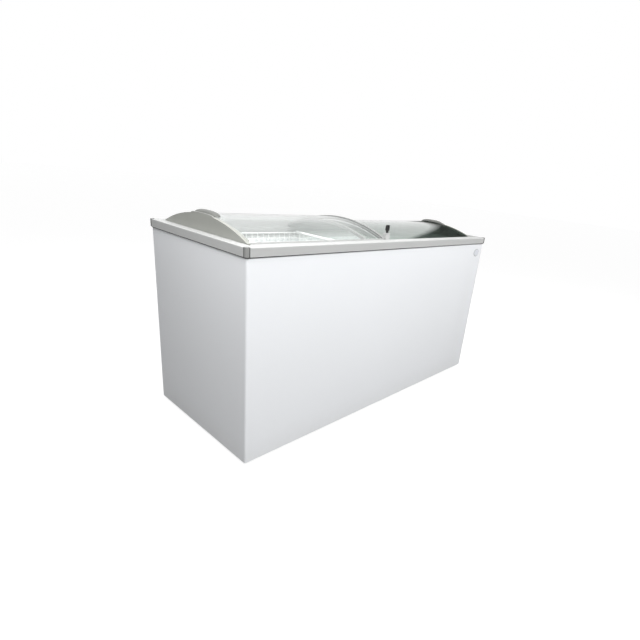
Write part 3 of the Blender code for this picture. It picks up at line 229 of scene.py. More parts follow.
def finish(made, wire, **sockets):
    """Close a material with a Principled shader; a socket's words are joined by _."""
    named = {}
    for name, value in sockets.items():
        label = name.replace("_", " ").title().replace("Ior", "IOR")
        named[label] = (*value, 1.0) if isinstance(value, tuple) else value
    shader = wire.node("BsdfPrincipled", inputs=named)
    wire.node("OutputMaterial", inputs={"Surface": shader})
    return made


# ---------------------------------------------------------------- finishes
def painted_steel(name, colour, roughness=0.28, coat=0.25):
    """Stove enamel: a fine orange peel, faint clouding and a little dust low down."""
    made, wire, place = start(name)
    cloud = wire.noise(place, 2.2, 3.0)
    peel = wire.noise(place, 620.0, 1.0)
    height = wire.node("SeparateXYZ", inputs={"Vector": place}, output="Z")
    dust = (1.0 - height * 9.0).clipped() * wire.noise(place, 34.0, 4.0) * 0.35
    clean = wire.tint(cloud, colour, scaled(colour, 0.965))
    dusty = scaled(colour, (0.80, 0.78, 0.74))
    return finish(made, wire, base_color=wire.tint(dust, clean, dusty),
                  roughness=cloud * 0.06 + dust * 0.3 + roughness,
                  coat_weight=coat, coat_roughness=0.08,
                  normal=wire.relief(peel, 0.00005, 0.6))


def moulded_plastic(name, colour, roughness, grain=900.0, depth=0.00006):
    """Moulded plastic: a fine spark-eroded grain and slight uneven gloss."""
    made, wire, place = start(name)
    fine = wire.noise(place, grain, 2.0)
    broad = wire.noise(place, 14.0, 2.0)
    return finish(made, wire, base_color=wire.tint(broad, colour, scaled(colour, 0.93)),
                  roughness=fine * 0.10 + broad * 0.06 + (roughness - 0.08),
                  normal=wire.relief(fine, depth))


def brushed_metal(name, colour, roughness, stretch=(1.0, 1.0, 30.0)):
    """Drawn or ground metal, with its scratches along one direction."""
    made, wire, place = start(name)
    drawn = wire.node("Mapping", inputs={"Vector": place, "Scale": scaled(stretch, 60.0)})
    scratch = wire.noise(drawn, 1.0, 4.0)
    stain = wire.noise(place, 22.0, 3.0)
    return finish(made, wire, metallic=1.0,
                  base_color=wire.tint(stain, colour, scaled(colour, 0.82)),
                  roughness=scratch * 0.18 + stain * 0.08 + (roughness - 0.12),
                  normal=wire.relief(scratch, 0.00004))


def spangled_zinc():
    """Galvanised sheet: crystals of different shades, each with its own gloss."""
    made, wire, place = start("spangled_zinc")
    crystal = wire.node("TexVoronoi", inputs={"Vector": place, "Scale": 85.0}, output="Color")
    facet = wire.node("SeparateXYZ", inputs={"Vector": crystal}, output="X")
    return finish(made, wire, metallic=0.9,
                  base_color=wire.tint(facet, (0.42, 0.44, 0.46), (0.66, 0.68, 0.70)),
                  roughness=facet * 0.22 + 0.28)


def embossed_liner():
    """Stucco-embossed aluminium: a field of shallow pebbles, pushed about by up to 16 mm, under
    thin frost, with painted shade that darkens the creases between them."""
    made, wire, place = start("embossed_liner")
    warp = wire.node("TexNoise", inputs={"Vector": place, "Scale": 55.0, "Detail": 2.0},
                     output="Color")
    bent = wire.node("VectorMath", {"operation": "MULTIPLY_ADD"},
                     {0: warp, 1: (0.016, 0.016, 0.016), 2: place}, output="Vector")
    pebble = wire.node("TexVoronoi", {"feature": "SMOOTH_F1"}, {"Vector": bent, "Scale": 78.0},
                       output="Distance")
    # crease is high in the low creases between the pebbles: it sinks the bump there, and darkens
    # the colour there as painted shade
    crease = (pebble * 1.5).clipped() ** 1.6
    frost = wire.noise(place, 9.0, 3.0)
    return finish(made, wire, metallic=0.05,
                  base_color=wire.tint(crease * 0.8, (0.93, 0.94, 0.94), (0.62, 0.64, 0.65)),
                  roughness=frost * 0.16 + 0.30, normal=wire.relief(1.0 - crease, 0.0022, 0.9))


def copper_tube():
    """Drawn copper, dulled in patches."""
    made, wire, place = start("copper_tube")
    patch = wire.noise(place, 40.0, 4.0)
    return finish(made, wire, metallic=1.0,
                  base_color=wire.tint(patch, (0.83, 0.43, 0.27), (0.42, 0.21, 0.13)),
                  roughness=patch * 0.30 + 0.18)


def poured_foam():
    """Cut polyurethane foam: small open cells and a warm unevenness."""
    made, wire, place = start("poured_foam")
    cell = wire.node("TexVoronoi", inputs={"Vector": place, "Scale": 420.0}, output="Distance")
    broad = wire.noise(place, 7.0, 3.0)
    return finish(made, wire,
                  base_color=wire.tint(broad, (0.85, 0.74, 0.48), (0.72, 0.58, 0.32)),
                  roughness=cell * 0.1 + 0.82, normal=wire.relief(cell, 0.0006))


def soft_rubber():
    """Black rubber, greyed by wear."""
    made, wire, place = start("soft_rubber")
    worn = wire.noise(place, 55.0, 4.0)
    return finish(made, wire,
                  base_color=wire.tint(worn, (0.018, 0.018, 0.019), (0.07, 0.07, 0.07)),
                  roughness=worn * 0.2 + 0.62, normal=wire.relief(worn, 0.00015))


def lid_glass(name, tint, coating):
    """Clear glass: each face mirrors about 1/25 of the light, and more by the fifth power of how
    far it is seen edge on. A coating adds a share that is the same from every side, and the rest
    goes through, tinted."""
    made, wire, place = start(name)
    smear = wire.noise(place, 3.0, 3.0)
    glance = wire.node("LayerWeight", inputs={"Blend": 0.5}, output="Facing")
    mirrored = (glance ** 5.0 * 0.96 + smear * 0.012 + (0.035 + coating)).clipped()
    clear = wire.node("BsdfTransparent", inputs={"Color": (*tint, 1.0)})
    mirror = wire.node("BsdfPrincipled", inputs={"Base Color": (0.97, 0.985, 0.98, 1.0),
                                                 "Metallic": 1.0, "Roughness": 0.03})
    both = wire.node("MixShader", inputs={0: mirrored, 1: clear, 2: mirror})
    wire.node("OutputMaterial", inputs={"Surface": both})
    return made


def studio_floor():
    """A pale, matt floor that is lit from within for the eye alone, so it sheds little light
    upwards."""
    made, wire, place = start("studio_floor")
    mottle = wire.noise(place, 1.2, 2.0)
    seen = wire.node("LightPath", output="Is Camera Ray")
    return finish(made, wire,
                  base_color=wire.tint(mottle, (0.20, 0.20, 0.20), (0.19, 0.19, 0.19)),
                  emission_color=wire.tint(seen, (0.0, 0.0, 0.0), (0.88, 0.88, 0.88)),
                  emission_strength=1.0, roughness=0.9, specular_ior_level=0.1)


WHITE_PAINT = painted_steel("white_paint", (0.80, 0.815, 0.835))
BLACK_PAINT = painted_steel("black_paint", (0.025, 0.026, 0.028), roughness=0.36, coat=0.1)
RIM_GREY = moulded_plastic("rim_grey", (0.455, 0.460, 0.455), 0.42)
LID_END_GREY = moulded_plastic("lid_end_grey", (0.310, 0.315, 0.292), 0.46)
GRIP_GREY = moulded_plastic("grip_grey", (0.125, 0.128, 0.120), 0.44)
LIP_GREY = moulded_plastic("lip_grey", (0.27, 0.275, 0.26), 0.42)
CAP_GREY = moulded_plastic("cap_grey", (0.26, 0.262, 0.257), 0.42)
TRIM_GREY = moulded_plastic("trim_grey", (0.30, 0.305, 0.30), 0.40)
VENT_GREY = moulded_plastic("vent_grey", (0.33, 0.33, 0.34), 0.45)
COLLAR_WHITE = moulded_plastic("collar_white", (0.66, 0.665, 0.66), 0.38)
KNOB_WHITE = moulded_plastic("knob_white", (0.78, 0.78, 0.78), 0.35)
BLACK_PLASTIC = moulded_plastic("black_plastic", (0.020, 0.020, 0.020), 0.36)
SWITCH_RED = moulded_plastic("switch_red", (0.42, 0.018, 0.016), 0.30)
BRISTLE_BLACK = moulded_plastic("bristle_black", (0.030, 0.030, 0.032), 0.60, grain=2400.0,
                                depth=0.0001)
WIRE_WHITE = moulded_plastic("wire_white", (0.84, 0.845, 0.84), 0.30, grain=1500.0,
                             depth=0.00004)
PLATE_SILVER = moulded_plastic("plate_silver", (0.66, 0.68, 0.72), 0.30)
# A black that stands for shade: the cap joint strips and the strip under the rim are painted shade
# in it
PAINTED_SHADE_DARK = moulded_plastic("painted_shade_dark", (0.035, 0.036, 0.036), 0.60)
BRIGHT_STEEL = brushed_metal("bright_steel", (0.72, 0.72, 0.73), 0.30)
FIN_METAL = brushed_metal("fin_metal", (0.70, 0.71, 0.73), 0.36, stretch=(1.0, 1.0, 8.0))
ZINC = spangled_zinc()
LINER_METAL = embossed_liner()
COPPER = copper_tube()
FOAM = poured_foam()
RUBBER = soft_rubber()
UPPER_GLASS = lid_glass("upper_glass", (0.985, 0.992, 0.988), coating=0.0)
# The lower pane's tint is much darker than the upper's: painted shade over the tub's right half
# seen through it; its coating is a real mirror share
LOWER_GLASS = lid_glass("lower_glass", (0.66, 0.71, 0.68), coating=0.10)

# ---- which finish each of the frame's nodes wears
ENDS = ("left", "right")
FACES = ("front", "rear")
DRESSING = {
    WHITE_PAINT: ["front_panel", "rear_panel", "left_side_panel", "right_side_panel"],
    CAP_GREY: [f"corner_cap_{face}_{end}" for face in FACES for end in ENDS],
    RIM_GREY: ["rim_front", "rim_rear", "rim_left", "rim_right", "lock_housing"]
    + [f"{end}_lid_runner_{face}" for face in FACES for end in ENDS],
    LID_END_GREY: ["left_lid_end", "right_lid_end"],
    TRIM_GREY: ["left_lid_edge_trim", "right_lid_edge_trim"],
    VENT_GREY: ["intake_grille", "control_panel", "compressor_terminal_box", "drain_tube"],
    COLLAR_WHITE: ["liner_collar"],
    LINER_METAL: ["inner_liner"],
    KNOB_WHITE: ["thermostat_knob"],
    SWITCH_RED: ["power_switch"],
    BLACK_PLASTIC: ["fan_blade", "mains_inlet_bush"],
    BLACK_PAINT: ["compressor", "compressor_channel", "fan_shroud", "fan_motor"],
    ZINC: ["base_pan", "thermostat"],
    FIN_METAL: ["condenser"],
    BRIGHT_STEEL: ["lock_barrel"],
    COPPER: ["evaporator_coil", "discharge_pipe"],
    FOAM: ["foam_floor", "foam_front", "foam_left", "foam_rear", "foam_right",
           "foam_step_riser", "foam_step_top"],
    RUBBER: [f"foot_{face}_{end}" for face in FACES for end in ENDS] + ["drain_plug"],
}
for material, nodes in DRESSING.items():
    for node in nodes:
        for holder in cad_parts[node].material_slots:
            holder.material = material


# ---------------------------------------------------------------- mesh tools
def span(node):
    """Lowest and highest corner of a node, as arrays."""
    low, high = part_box(node)
    return np.array(low), np.array(high)


def unit(vectors):
    """Vectors over their lengths."""
    return vectors / np.linalg.norm(vectors, axis=-1, keepdims=True)


def skin(grid, around_rows=False):
    """Points and faces of rows that are closed rings: a quad between each four neighbours, and,
    where the last row doesn't meet the first, one face over each end ring."""
    rows, columns = grid.shape[:2]
    r = np.arange(rows if around_rows else rows - 1)[:, None]
    c = np.arange(columns)[None]
    after_r, after_c = (r + 1) % rows, (c + 1) % columns
    quads = np.stack([r * columns + c, r * columns + after_c, after_r * columns + after_c,
                      after_r * columns + c], -1).reshape(-1, 4)
    faces = quads.tolist()
    if not around_rows:
        faces.append(list(range(columns)))
        faces.append(list(range((rows - 1) * columns, rows * columns)))
    return grid.reshape(-1, 3), faces


def piece(name, shapes, material, body, bevel=0.0, angle=35):
    """One visible piece from (points, faces) pairs; it rides on a body."""
    points, faces, count = [], [], 0
    for more_points, more_faces in shapes:
        points.append(more_points)
        faces += [[i + count for i in face] for face in more_faces]
        count += len(more_points)
    mesh = bpy.data.meshes.new(name)
    mesh.from_pydata(np.concatenate(points).tolist(), [], faces)
    work = bmesh.new()
    work.from_mesh(mesh)
    bmesh.ops.recalc_face_normals(work, faces=work.faces)
    work.to_mesh(mesh)
    work.free()
    mesh.shade_smooth()
    mesh.set_sharp_from_angle(angle=math.radians(angle))
    mesh.materials.append(material)
    made = bpy.data.objects.new(name, mesh)
    bpy.context.scene.collection.objects.link(made)
    if bevel:
        rounding = made.modifiers.new("rounding", "BEVEL")
        rounding.width, rounding.segments = bevel, 2
        rounding.limit_method, rounding.angle_limit = "ANGLE", math.radians(angle)
        rounding.harden_normals = True
    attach(made, body)
    return made


def ring_profile(radius, sides):
    """A circle: radius times the cosine and sine of equal angles."""
    angle = np.linspace(0, 2 * np.pi, sides, endpoint=False)
    return radius * np.stack([np.cos(angle), np.sin(angle)], -1)


def carried(path, profile, reference, closed=False, scale=None):
    """A profile carried along a path. At each point its first axis is the reference made square
    to the path, and its second is across both; scale stretches it there."""
    path = np.asarray(path, float)
    step = unit(np.roll(path, -1, 0) - path)
    if not closed:
        step[-1] = step[-2]
    before = np.roll(step, 1, 0)
    if not closed:
        before[0] = step[0]
    forward = unit(step + before)
    across = unit(np.cross(forward, np.asarray(reference, float)))
    up = np.cross(across, forward)
    shape = np.broadcast_to(profile, (len(path), *profile.shape))
    if scale is not None:
        shape = shape * np.asarray(scale)[:, None, :]
    grid = path[:, None] + shape[..., :1] * up[:, None] + shape[..., 1:] * across[:, None]
    return skin(grid, around_rows=closed)


def rounded_path(corners, radius, closed=False, steps=5):
    """A path through corners, each turned in a parabola that starts and ends radius away from it:
    (1-s)^2 of its start, 2s(1-s) of the corner and s^2 of its end."""
    corners = np.asarray(corners, float)
    share = np.linspace(0, 1, steps)[:, None]
    stretches = []
    for k, here in enumerate(corners):
        if not closed and k in (0, len(corners) - 1):
            stretches.append(here[None])
            continue
        first = here + radius * unit(corners[k - 1] - here)
        last = here + radius * unit(corners[(k + 1) % len(corners)] - here)
        stretches.append((1 - share) ** 2 * first + 2 * share * (1 - share) * here
                         + share ** 2 * last)
    return np.concatenate(stretches)


def flowing_path(marks, steps=8):
    """A Catmull-Rom curve through marks: each stretch blends the four marks round it by
    cubics."""
    marks = np.asarray(marks, float)
    ends = np.concatenate([marks[:1], marks, marks[-1:]])
    t = (np.arange(steps) / steps)[None, :, None]
    a, b, c, d = (ends[k:len(ends) - 3 + k, None] for k in range(4))
    curve = 0.5 * (2 * b + (c - a) * t + (2 * a - 5 * b + 4 * c - d) * t ** 2
                   + (3 * b - a - 3 * c + d) * t ** 3)
    return np.concatenate([curve.reshape(-1, 3), marks[-1:]])


def turned(profile, centre, axis, steps):
    """A profile of (radius, along) turned about an axis through centre: radius times cosine and
    sine of the angle, square to the axis."""
    profile = np.asarray(profile, float)
    axis = unit(np.asarray(axis, float))
    slanted = (0.31, 0.47, 0.83)      # along none of the axes that are turned about
    side = unit(np.cross(axis, slanted))
    other = np.cross(axis, side)
    angle = np.linspace(0, 2 * np.pi, steps, endpoint=False)
    spokes = np.cos(angle)[:, None] * side + np.sin(angle)[:, None] * other
    grid = np.asarray(centre, float) + profile[:, None, :1] * spokes + profile[:, None, 1:] * axis
    return skin(grid)


def box_shape(corner, opposite):
    """A box between two opposite corners: its lower and its upper four points, as two rings."""
    x0, y0, z0 = np.minimum(corner, opposite)
    x1, y1, z1 = np.maximum(corner, opposite)
    ring = np.array([(x0, y0), (x1, y0), (x1, y1), (x0, y1)])
    grid = np.stack([np.column_stack([ring, np.full(4, z)]) for z in (z0, z1)])
    return skin(grid)


# ---------------------------------------------------------------- lid glass
def arch(node):
    """Radius of a pane's outer face, and the height of its centre, from the pane's box: the crown
    is a radius above the centre, and the lower edge is on the inner face at the box's half
    width."""
    low, high = span(node)
    half, drop = high[1], high[2] - low[2]
    radius = (drop ** 2 + half ** 2 - GLASS ** 2) / (2 * (drop - GLASS))
    return radius, high[2] - radius


def arch_points(radius, centre, half, count):
    """Points (y, z) at equal angles on an arch, out to y = half on both sides: radius times the
    sine and cosine of the angle."""
    reach = math.asin(half / radius)
    angle = np.linspace(-reach, reach, count)
    return np.stack([radius * np.sin(angle), centre + radius * np.cos(angle)], -1)


def pane(name, node, material, body):
    """A bent pane: a rectangle, length by thickness, carried over the arch."""
    low, high = span(node)
    radius, centre = arch(node)
    middle = arch_points(radius - GLASS / 2, centre, high[1] - GLASS / 2, count=72)
    path = np.column_stack([np.full(len(middle), (low[0] + high[0]) / 2), middle])
    length = high[0] - low[0]
    profile = np.array(SQUARE) * (length / 2, GLASS / 2)
    made = piece(name, [carried(path, profile, (1, 0, 0))], material, body,
                 EDGE_ROUND)
    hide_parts(node)


pane("upper_pane", "left_lid_glass", UPPER_GLASS, "left_lid")
pane("lower_pane", "right_lid_glass", LOWER_GLASS, "right_lid")


# ---------------------------------------------------------------- lid grips
def grip(name, node, glass_node, side, body):
    """A domed grip over the arch, and the lip under it along the lid end's outer edge. Along the
    grip, the dome's height and width follow (1 - s^4)^(1/2) of the share s of its length. Across
    it, the dome is half an ellipse on an upright edge, and under its side towards the glass it is
    hollow for the fingers. The lip is a rectangle with two corners cut, carried over the arch and
    thinned out at its ends."""
    low, high = span(node)
    centre = arch(glass_node)[1]
    half_length, half_width = high[1], (high[0] - low[0]) / 2
    seat_radius = math.hypot(half_length, low[2] - centre)
    share = -np.cos(np.linspace(0.04, np.pi - 0.04, GRIP_STATIONS))
    swell = np.sqrt(np.clip(1 - share ** 4, 0.0004, 1))
    y = share * half_length
    base = centre + np.sqrt(seat_radius ** 2 - y ** 2)
    rise = high[2] - (centre + seat_radius)
    turn = np.linspace(0, np.pi, 17)
    dome = np.stack([np.cos(turn), GRIP_RIM + (1 - GRIP_RIM) * np.sin(turn)], -1)
    hollow = np.array([(-0.96, 0.10), (-0.62, 0.34), (-0.40, 0.22), (-0.34, 0.0)])
    section = np.concatenate([[(1.0, 0.0)], dome, hollow])
    width = half_width * (GRIP_NARROWEST + (1 - GRIP_NARROWEST) * swell)
    x = (low[0] + high[0]) / 2 + side * section[None, :, 0] * width[:, None]
    z = base[:, None] + section[None, :, 1] * (rise * swell)[:, None]
    grid = np.stack([x, np.broadcast_to(y[:, None], x.shape), z], -1)
    made = piece(name, [skin(grid)], GRIP_GREY, body, angle=50)
    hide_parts(node)

    reach = np.linspace(-1, 1, LIP_STATIONS)
    taper = np.clip((1 - np.abs(reach)) / LIP_TAPER, 0.12, 1)
    lip_y = reach * (half_length + LIP_OVERHANG)
    lip_x = (high[0] if side > 0 else low[0]) + side * LIP_PROUD
    path = np.stack([np.full(LIP_STATIONS, lip_x), lip_y,
                     centre + np.sqrt(seat_radius ** 2 - lip_y ** 2)], -1)
    profile = np.array([(-0.2, -1), (0.6, -1), (1, -0.6), (1, 0.6), (0.6, 1), (-0.2, 1)])
    lip = carried(path, profile * LIP_HALF_SIZE, (0, 0, 1),
                  scale=np.stack([taper, np.ones(LIP_STATIONS)], -1))
    piece(name + "_lip", [lip], LIP_GREY, body)


grip("left_grip", "left_lid_handle", "left_lid_glass", -1, "left_lid")
grip("right_grip", "right_lid_handle", "right_lid_glass", 1, "right_lid")


# ---------------------------------------------------------------- brush seal
def brush():
    """Tufts under the upper lid's free edge: each is a thin four-sided spike, and they stand side
    by side along the arch in rows, each a little shorter or longer than the next."""
    low, high = span("left_lid_brush_seal")
    centre = arch("left_lid_glass")[1]
    lower_radius = arch("right_lid_glass")[0]
    root = arch_points(high[2] - centre, centre, high[1], BRISTLES)
    outwards = unit(root - (0, centre))
    along = np.column_stack([outwards[:, 1], -outwards[:, 0]]) * BRISTLE_THICKNESS
    gap = (high[2] - centre) - lower_radius - BRISTLE_GAP
    sides = np.array([(0, 1, 5, 4), (1, 2, 6, 5), (2, 3, 7, 6), (3, 0, 4, 7), (0, 3, 2, 1),
                      (4, 5, 6, 7)])
    first = np.arange(BRISTLES)[:, None, None] * 8
    rng = np.random.default_rng(4)
    shapes = []
    for row in range(BRISTLE_ROWS):
        reach = gap * (0.90 + 0.10 * rng.random(BRISTLES))[:, None]
        lean = (rng.random((BRISTLES, 1)) - 0.5) * BRISTLE_LEAN
        x = low[0] + (high[0] - low[0]) * (row + 0.5) / BRISTLE_ROWS + lean
        corners = []
        for place, width in ((root, 1.0), (root - outwards * reach, 0.6)):
            for across, depth in SQUARE:
                at = place + along * across * width
                corners.append(np.column_stack([x + depth * BRISTLE_THICKNESS * width, at]))
        points = np.stack(corners, 1).reshape(-1, 3)
        shapes.append((points, (first + sides[None]).reshape(-1, 4).tolist()))
    made = piece("brush_tufts", shapes, BRISTLE_BLACK, "left_lid")
    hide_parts("left_lid_brush_seal")


brush()


# ---------------------------------------------------------------- key
def key():
    """A key's plastic head: between its outline, where |x/a|^4 + |z/b|^4 = 1, and a round eye near
    its top, drawn out to its thickness, with its shank under it."""
    low, high = span("key")
    x, y = (low[0] + high[0]) / 2, (low[1] + high[1]) / 2
    a, b = (high[0] - low[0]) / 2, KEY_HEAD / 2
    middle = high[2] - b
    angle = np.linspace(0, 2 * np.pi, KEY_SEGMENTS, endpoint=False)
    cosine, sine, level = np.cos(angle), np.sin(angle), np.full(KEY_SEGMENTS, y)
    swell = (np.abs(cosine) ** 4 + np.abs(sine) ** 4) ** -0.25
    outer = np.stack([x + a * swell * cosine, level, middle + b * swell * sine], -1)
    inner = np.stack([x + KEY_EYE * cosine, level,
                      middle + b * KEY_EYE_RISE + KEY_EYE * sine], -1)
    depth = np.array([0, KEY_THICKNESS / 2, 0])
    ring = np.stack([outer - depth, outer + depth, inner + depth, inner - depth])
    half_x, half_y = KEY_SHANK
    shank = box_shape((x - half_x, y - half_y, low[2]), (x + half_x, y + half_y, middle - b * 0.9))
    made = piece("key_head", [skin(ring, around_rows=True), shank], BLACK_PLASTIC, "lock",
                 EDGE_ROUND)
    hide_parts("key")


key()


# ---------------------------------------------------------------- wire basket
def basket():
    """Welded wire, dipped in white plastic: hoops round it, wires down and under it both ways, two
    flat rails that hang on the ledge, and a bar with a knob at each end across both short
    sides."""
    low, high = span("hanging_basket")
    inner = high[1] - RAIL_WIDTH
    x0, x1 = low[0] + BASKET_FRAME_WIRE, high[0] - BASKET_FRAME_WIRE
    y1 = inner - BASKET_FRAME_WIRE
    top = high[2] - BASKET_FRAME_WIRE - BASKET_TOP_GAP
    bottom = low[2] + BASKET_WIRE
    depth = top - bottom
    wire = ring_profile(BASKET_WIRE, 6)

    def hoop(z, radius):
        """A rounded rectangle at height z, smaller the lower it is."""
        inset = BASKET_TAPER * (top - z) / depth
        a, b, c = x0 + inset, x1 - inset, y1 - inset
        corners = [(a, -c, z), (b, -c, z), (b, c, z), (a, c, z)]
        path = rounded_path(corners, BASKET_CORNER, closed=True)
        return carried(path, ring_profile(radius, 8), (0, 0, 1), closed=True)

    def spread(start, end):
        """Places of the wires between two ends of a side, about a pitch apart."""
        count = round((end - start - 2 * BASKET_EDGE) / BASKET_PITCH) + 1
        return np.linspace(start + BASKET_EDGE, end - BASKET_EDGE, count)

    levels = np.arange(bottom + BASKET_PITCH, top - BASKET_PITCH / 2, BASKET_PITCH)
    mesh_shapes = [hoop(z, BASKET_WIRE) for z in levels]
    inside = 2 * BASKET_WIRE
    for x in spread(x0, x1):
        lean = BASKET_TAPER * (1 - 2 * (x - x0) / (x1 - x0))
        c, d = y1 - inside, y1 - inside - BASKET_TAPER
        corners = [(x, -c, top), (x + lean, -d, bottom), (x + lean, d, bottom), (x, c, top)]
        mesh_shapes.append(carried(rounded_path(corners, BASKET_BEND), wire, (1, 0, 0)))
    for y in spread(-y1, y1):
        lean = -BASKET_TAPER * y / y1
        a, b = x0 + inside, x1 - inside
        e, f = a + BASKET_TAPER, b - BASKET_TAPER
        z = bottom + inside
        corners = [(a, y, top), (e, y + lean, z), (f, y + lean, z), (b, y, top)]
        mesh_shapes.append(carried(rounded_path(corners, BASKET_BEND), wire, (0, 1, 0)))
    mesh = piece("basket_mesh", mesh_shapes, WIRE_WHITE, "basket")
    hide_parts("hanging_basket")
    hoops = [hoop(top, BASKET_FRAME_WIRE), hoop(top - depth * 0.5, BASKET_HOOP_WIRE),
             hoop(bottom, BASKET_HOOP_WIRE)]
    piece("basket_hoops", hoops, WIRE_WHITE, "basket")

    rails = [box_shape((low[0] + RAIL_INSET, side * inner, high[2] - RAIL_HEIGHT),
                       (high[0] - RAIL_INSET, side * high[1], high[2] - RAIL_DROP))
             for side in (-1, 1)]
    piece("basket_rails", rails, WIRE_WHITE, "basket", RAIL_ROUND)

    along = np.linspace(-1, 1, BAR_STATIONS)
    near_end = np.clip((np.abs(along) - KNOB_FROM) / KNOB_SHARE, 0, 1)
    bulb = BAR_RADIUS + (KNOB_RADIUS - BAR_RADIUS) * np.sin(near_end * np.pi / 2) ** 2
    past_tip = np.clip(np.abs(along) - TIP_FROM, 0, 1) / TIP_SHARE
    tip = np.sqrt(np.clip(1 - past_tip ** 2, 0.01, 1))
    size = np.stack([bulb * tip * BAR_FLATNESS, bulb * tip], -1)
    bars = []
    for x in (low[0] + KNOB_RADIUS, high[0] - KNOB_RADIUS):
        path = np.stack([np.full(BAR_STATIONS, x), along * (high[1] - KNOB_RADIUS),
                         np.full(BAR_STATIONS, high[2] - BASKET_TOP_GAP)], -1)
        bars.append(carried(path, ring_profile(1.0, 18), (0, 0, 1), scale=size))
    piece("basket_end_bars", bars, WIRE_WHITE, "basket")


basket()


# ---------------------------------------------------------------- small fittings
def stretched(shape, centre, factor):
    """A shape pulled out along X: its distance from the centre times a factor."""
    points, faces = shape
    return np.column_stack([centre[0] + (points[:, 0] - centre[0]) * factor, points[:, 1:]]), faces


def oval_plate():
    """A plain oval plate: a shallow dome inside a raised rim, in a dark outline."""
    body_low, body_high = span("front_panel")
    centre = (body_high[0] - PLATE_FROM_RIGHT, body_low[1], body_high[2] - PLATE_FROM_TOP)
    r, t = PLATE_HALF_HEIGHT, PLATE_THICKNESS
    rim = [(r * 0.93, PLATE_LIFT), (r * 0.95, t * 0.7), (r * 0.92, t), (r * 0.85, t),
           (r * 0.82, t * 0.55)]
    dome = [(r * s, t * (0.95 - 0.4 * s * s)) for s in np.linspace(0.78, 0.02, 9)]
    outline = [(r * 0.80, PLATE_LIFT), (r * 1.06, PLATE_LIFT), (r * 1.06, t * 0.30),
               (r * 0.80, t * 0.30)]
    plate, edge = (stretched(turned(profile, centre, (0, -1, 0), PLATE_SEGMENTS), centre,
                             PLATE_STRETCH) for profile in (rim + dome, outline))
    piece("oval_plate", [plate], PLATE_SILVER, "cabinet")
    piece("oval_plate_edge", [edge], TRIM_GREY, "cabinet")


def screw_shape(centre, axis, angle):
    """A pan head: height (1 - (r/R)^4)^(1/2), less a cross sunk where the angle is near a quarter
    turn."""
    axis = np.asarray(axis, float)
    side = unit(np.cross(axis, (0.0, 0.0, 1.0)))
    other = np.cross(axis, side)
    share = np.array([1.0, 0.96, 0.86, 0.70, 0.54, 0.40, 0.22, 0.06])[:, None]
    turn = np.linspace(0, 2 * np.pi, SCREW_SEGMENTS, endpoint=False)[None]
    height = SCREW_HEIGHT * np.sqrt(np.clip(1 - share ** 4, 0, 1))
    cross = np.exp(-((np.sin(2 * (turn - angle)) / SLOT_SPREAD) ** 2)) \
        * (share < SLOT_SHARE) * SLOT_DEPTH * SCREW_HEIGHT
    spokes = np.cos(turn)[..., None] * side + np.sin(turn)[..., None] * other
    grid = np.asarray(centre, float) + SCREW_RADIUS * share[..., None] * spokes \
        + (height - cross)[..., None] * axis
    return skin(grid)


def panel_screws():
    """A screw in each corner of the grille and of the control panel, and a row along the rear
    panel's top and bottom edges."""
    rng = np.random.default_rng(9)
    shapes = []
    for node, inset in SCREW_INSETS:
        low, high = span(node)
        for y in (low[1] + inset, high[1] - inset):
            for z in (low[2] + inset, high[2] - inset):
                shapes.append(screw_shape((high[0], y, z), (1, 0, 0), rng.random() * 1.5))
    low, high = span("rear_panel")
    for x in np.linspace(low[0] + REAR_SCREW_INSET, high[0] - REAR_SCREW_INSET, REAR_SCREWS):
        for z in (low[2] + REAR_SCREW_RISE, high[2] - REAR_SCREW_DROP):
            shapes.append(screw_shape((x, high[1], z), (0, 1, 0), rng.random() * 1.5))
    piece("panel_screws", shapes, BRIGHT_STEEL, "cabinet", angle=60)


def cap_joint_shade():
    """A dark line of painted shade in each joint between a corner cap and a rim: up the outer
    face and over the top."""
    half, out = SEAM_WIDTH / 2, SEAM_PROUD
    shapes = []
    for face, sy in (("front", -1), ("rear", 1)):
        for end, sx in (("left", -1), ("right", 1)):
            low, high = span(f"corner_cap_{face}_{end}")
            inner_x, outer_x = (high[0], low[0]) if sx < 0 else (low[0], high[0])
            inner_y, outer_y = (high[1], low[1]) if sy < 0 else (low[1], high[1])
            joint_x, joint_y = inner_x - sx * half, inner_y - sy * half
            bottom, top = low[2] + SEAM_CLEAR, high[2]
            shapes += [box_shape((joint_x - half, outer_y - sy * SEAM_BED, bottom),
                                 (joint_x + half, outer_y + sy * out, top + out)),
                       box_shape((joint_x - half, outer_y, top - SEAM_TOP_BED),
                                 (joint_x + half, inner_y, top + out)),
                       box_shape((outer_x - sx * SEAM_BED, joint_y - half, bottom),
                                 (outer_x + sx * out, joint_y + half, top + out)),
                       box_shape((outer_x, joint_y - half, top - SEAM_TOP_BED),
                                 (inner_x, joint_y + half, top + out))]
    piece("cap_joint_shade", shapes, PAINTED_SHADE_DARK, "cabinet")


def rim_painted_shadow():
    """A dark strip of painted shadow just under the rim's overhang, where the shade line falls: a
    small rectangle carried round the body."""
    high = span("front_panel")[1]
    half_x, half_y = high[0] + STRIP_PROUD, span("rear_panel")[1][1] + STRIP_PROUD
    corners = [(x * half_x, y * half_y, high[2] - STRIP_DROP) for x, y in SQUARE]
    path = rounded_path(corners, STRIP_CORNER, closed=True, steps=7)
    strip = carried(path, np.array(SQUARE) * STRIP_HALF_SIZE, (0, 0, 1), closed=True)
    piece("rim_painted_shadow", [strip], PAINTED_SHADE_DARK, "cabinet")


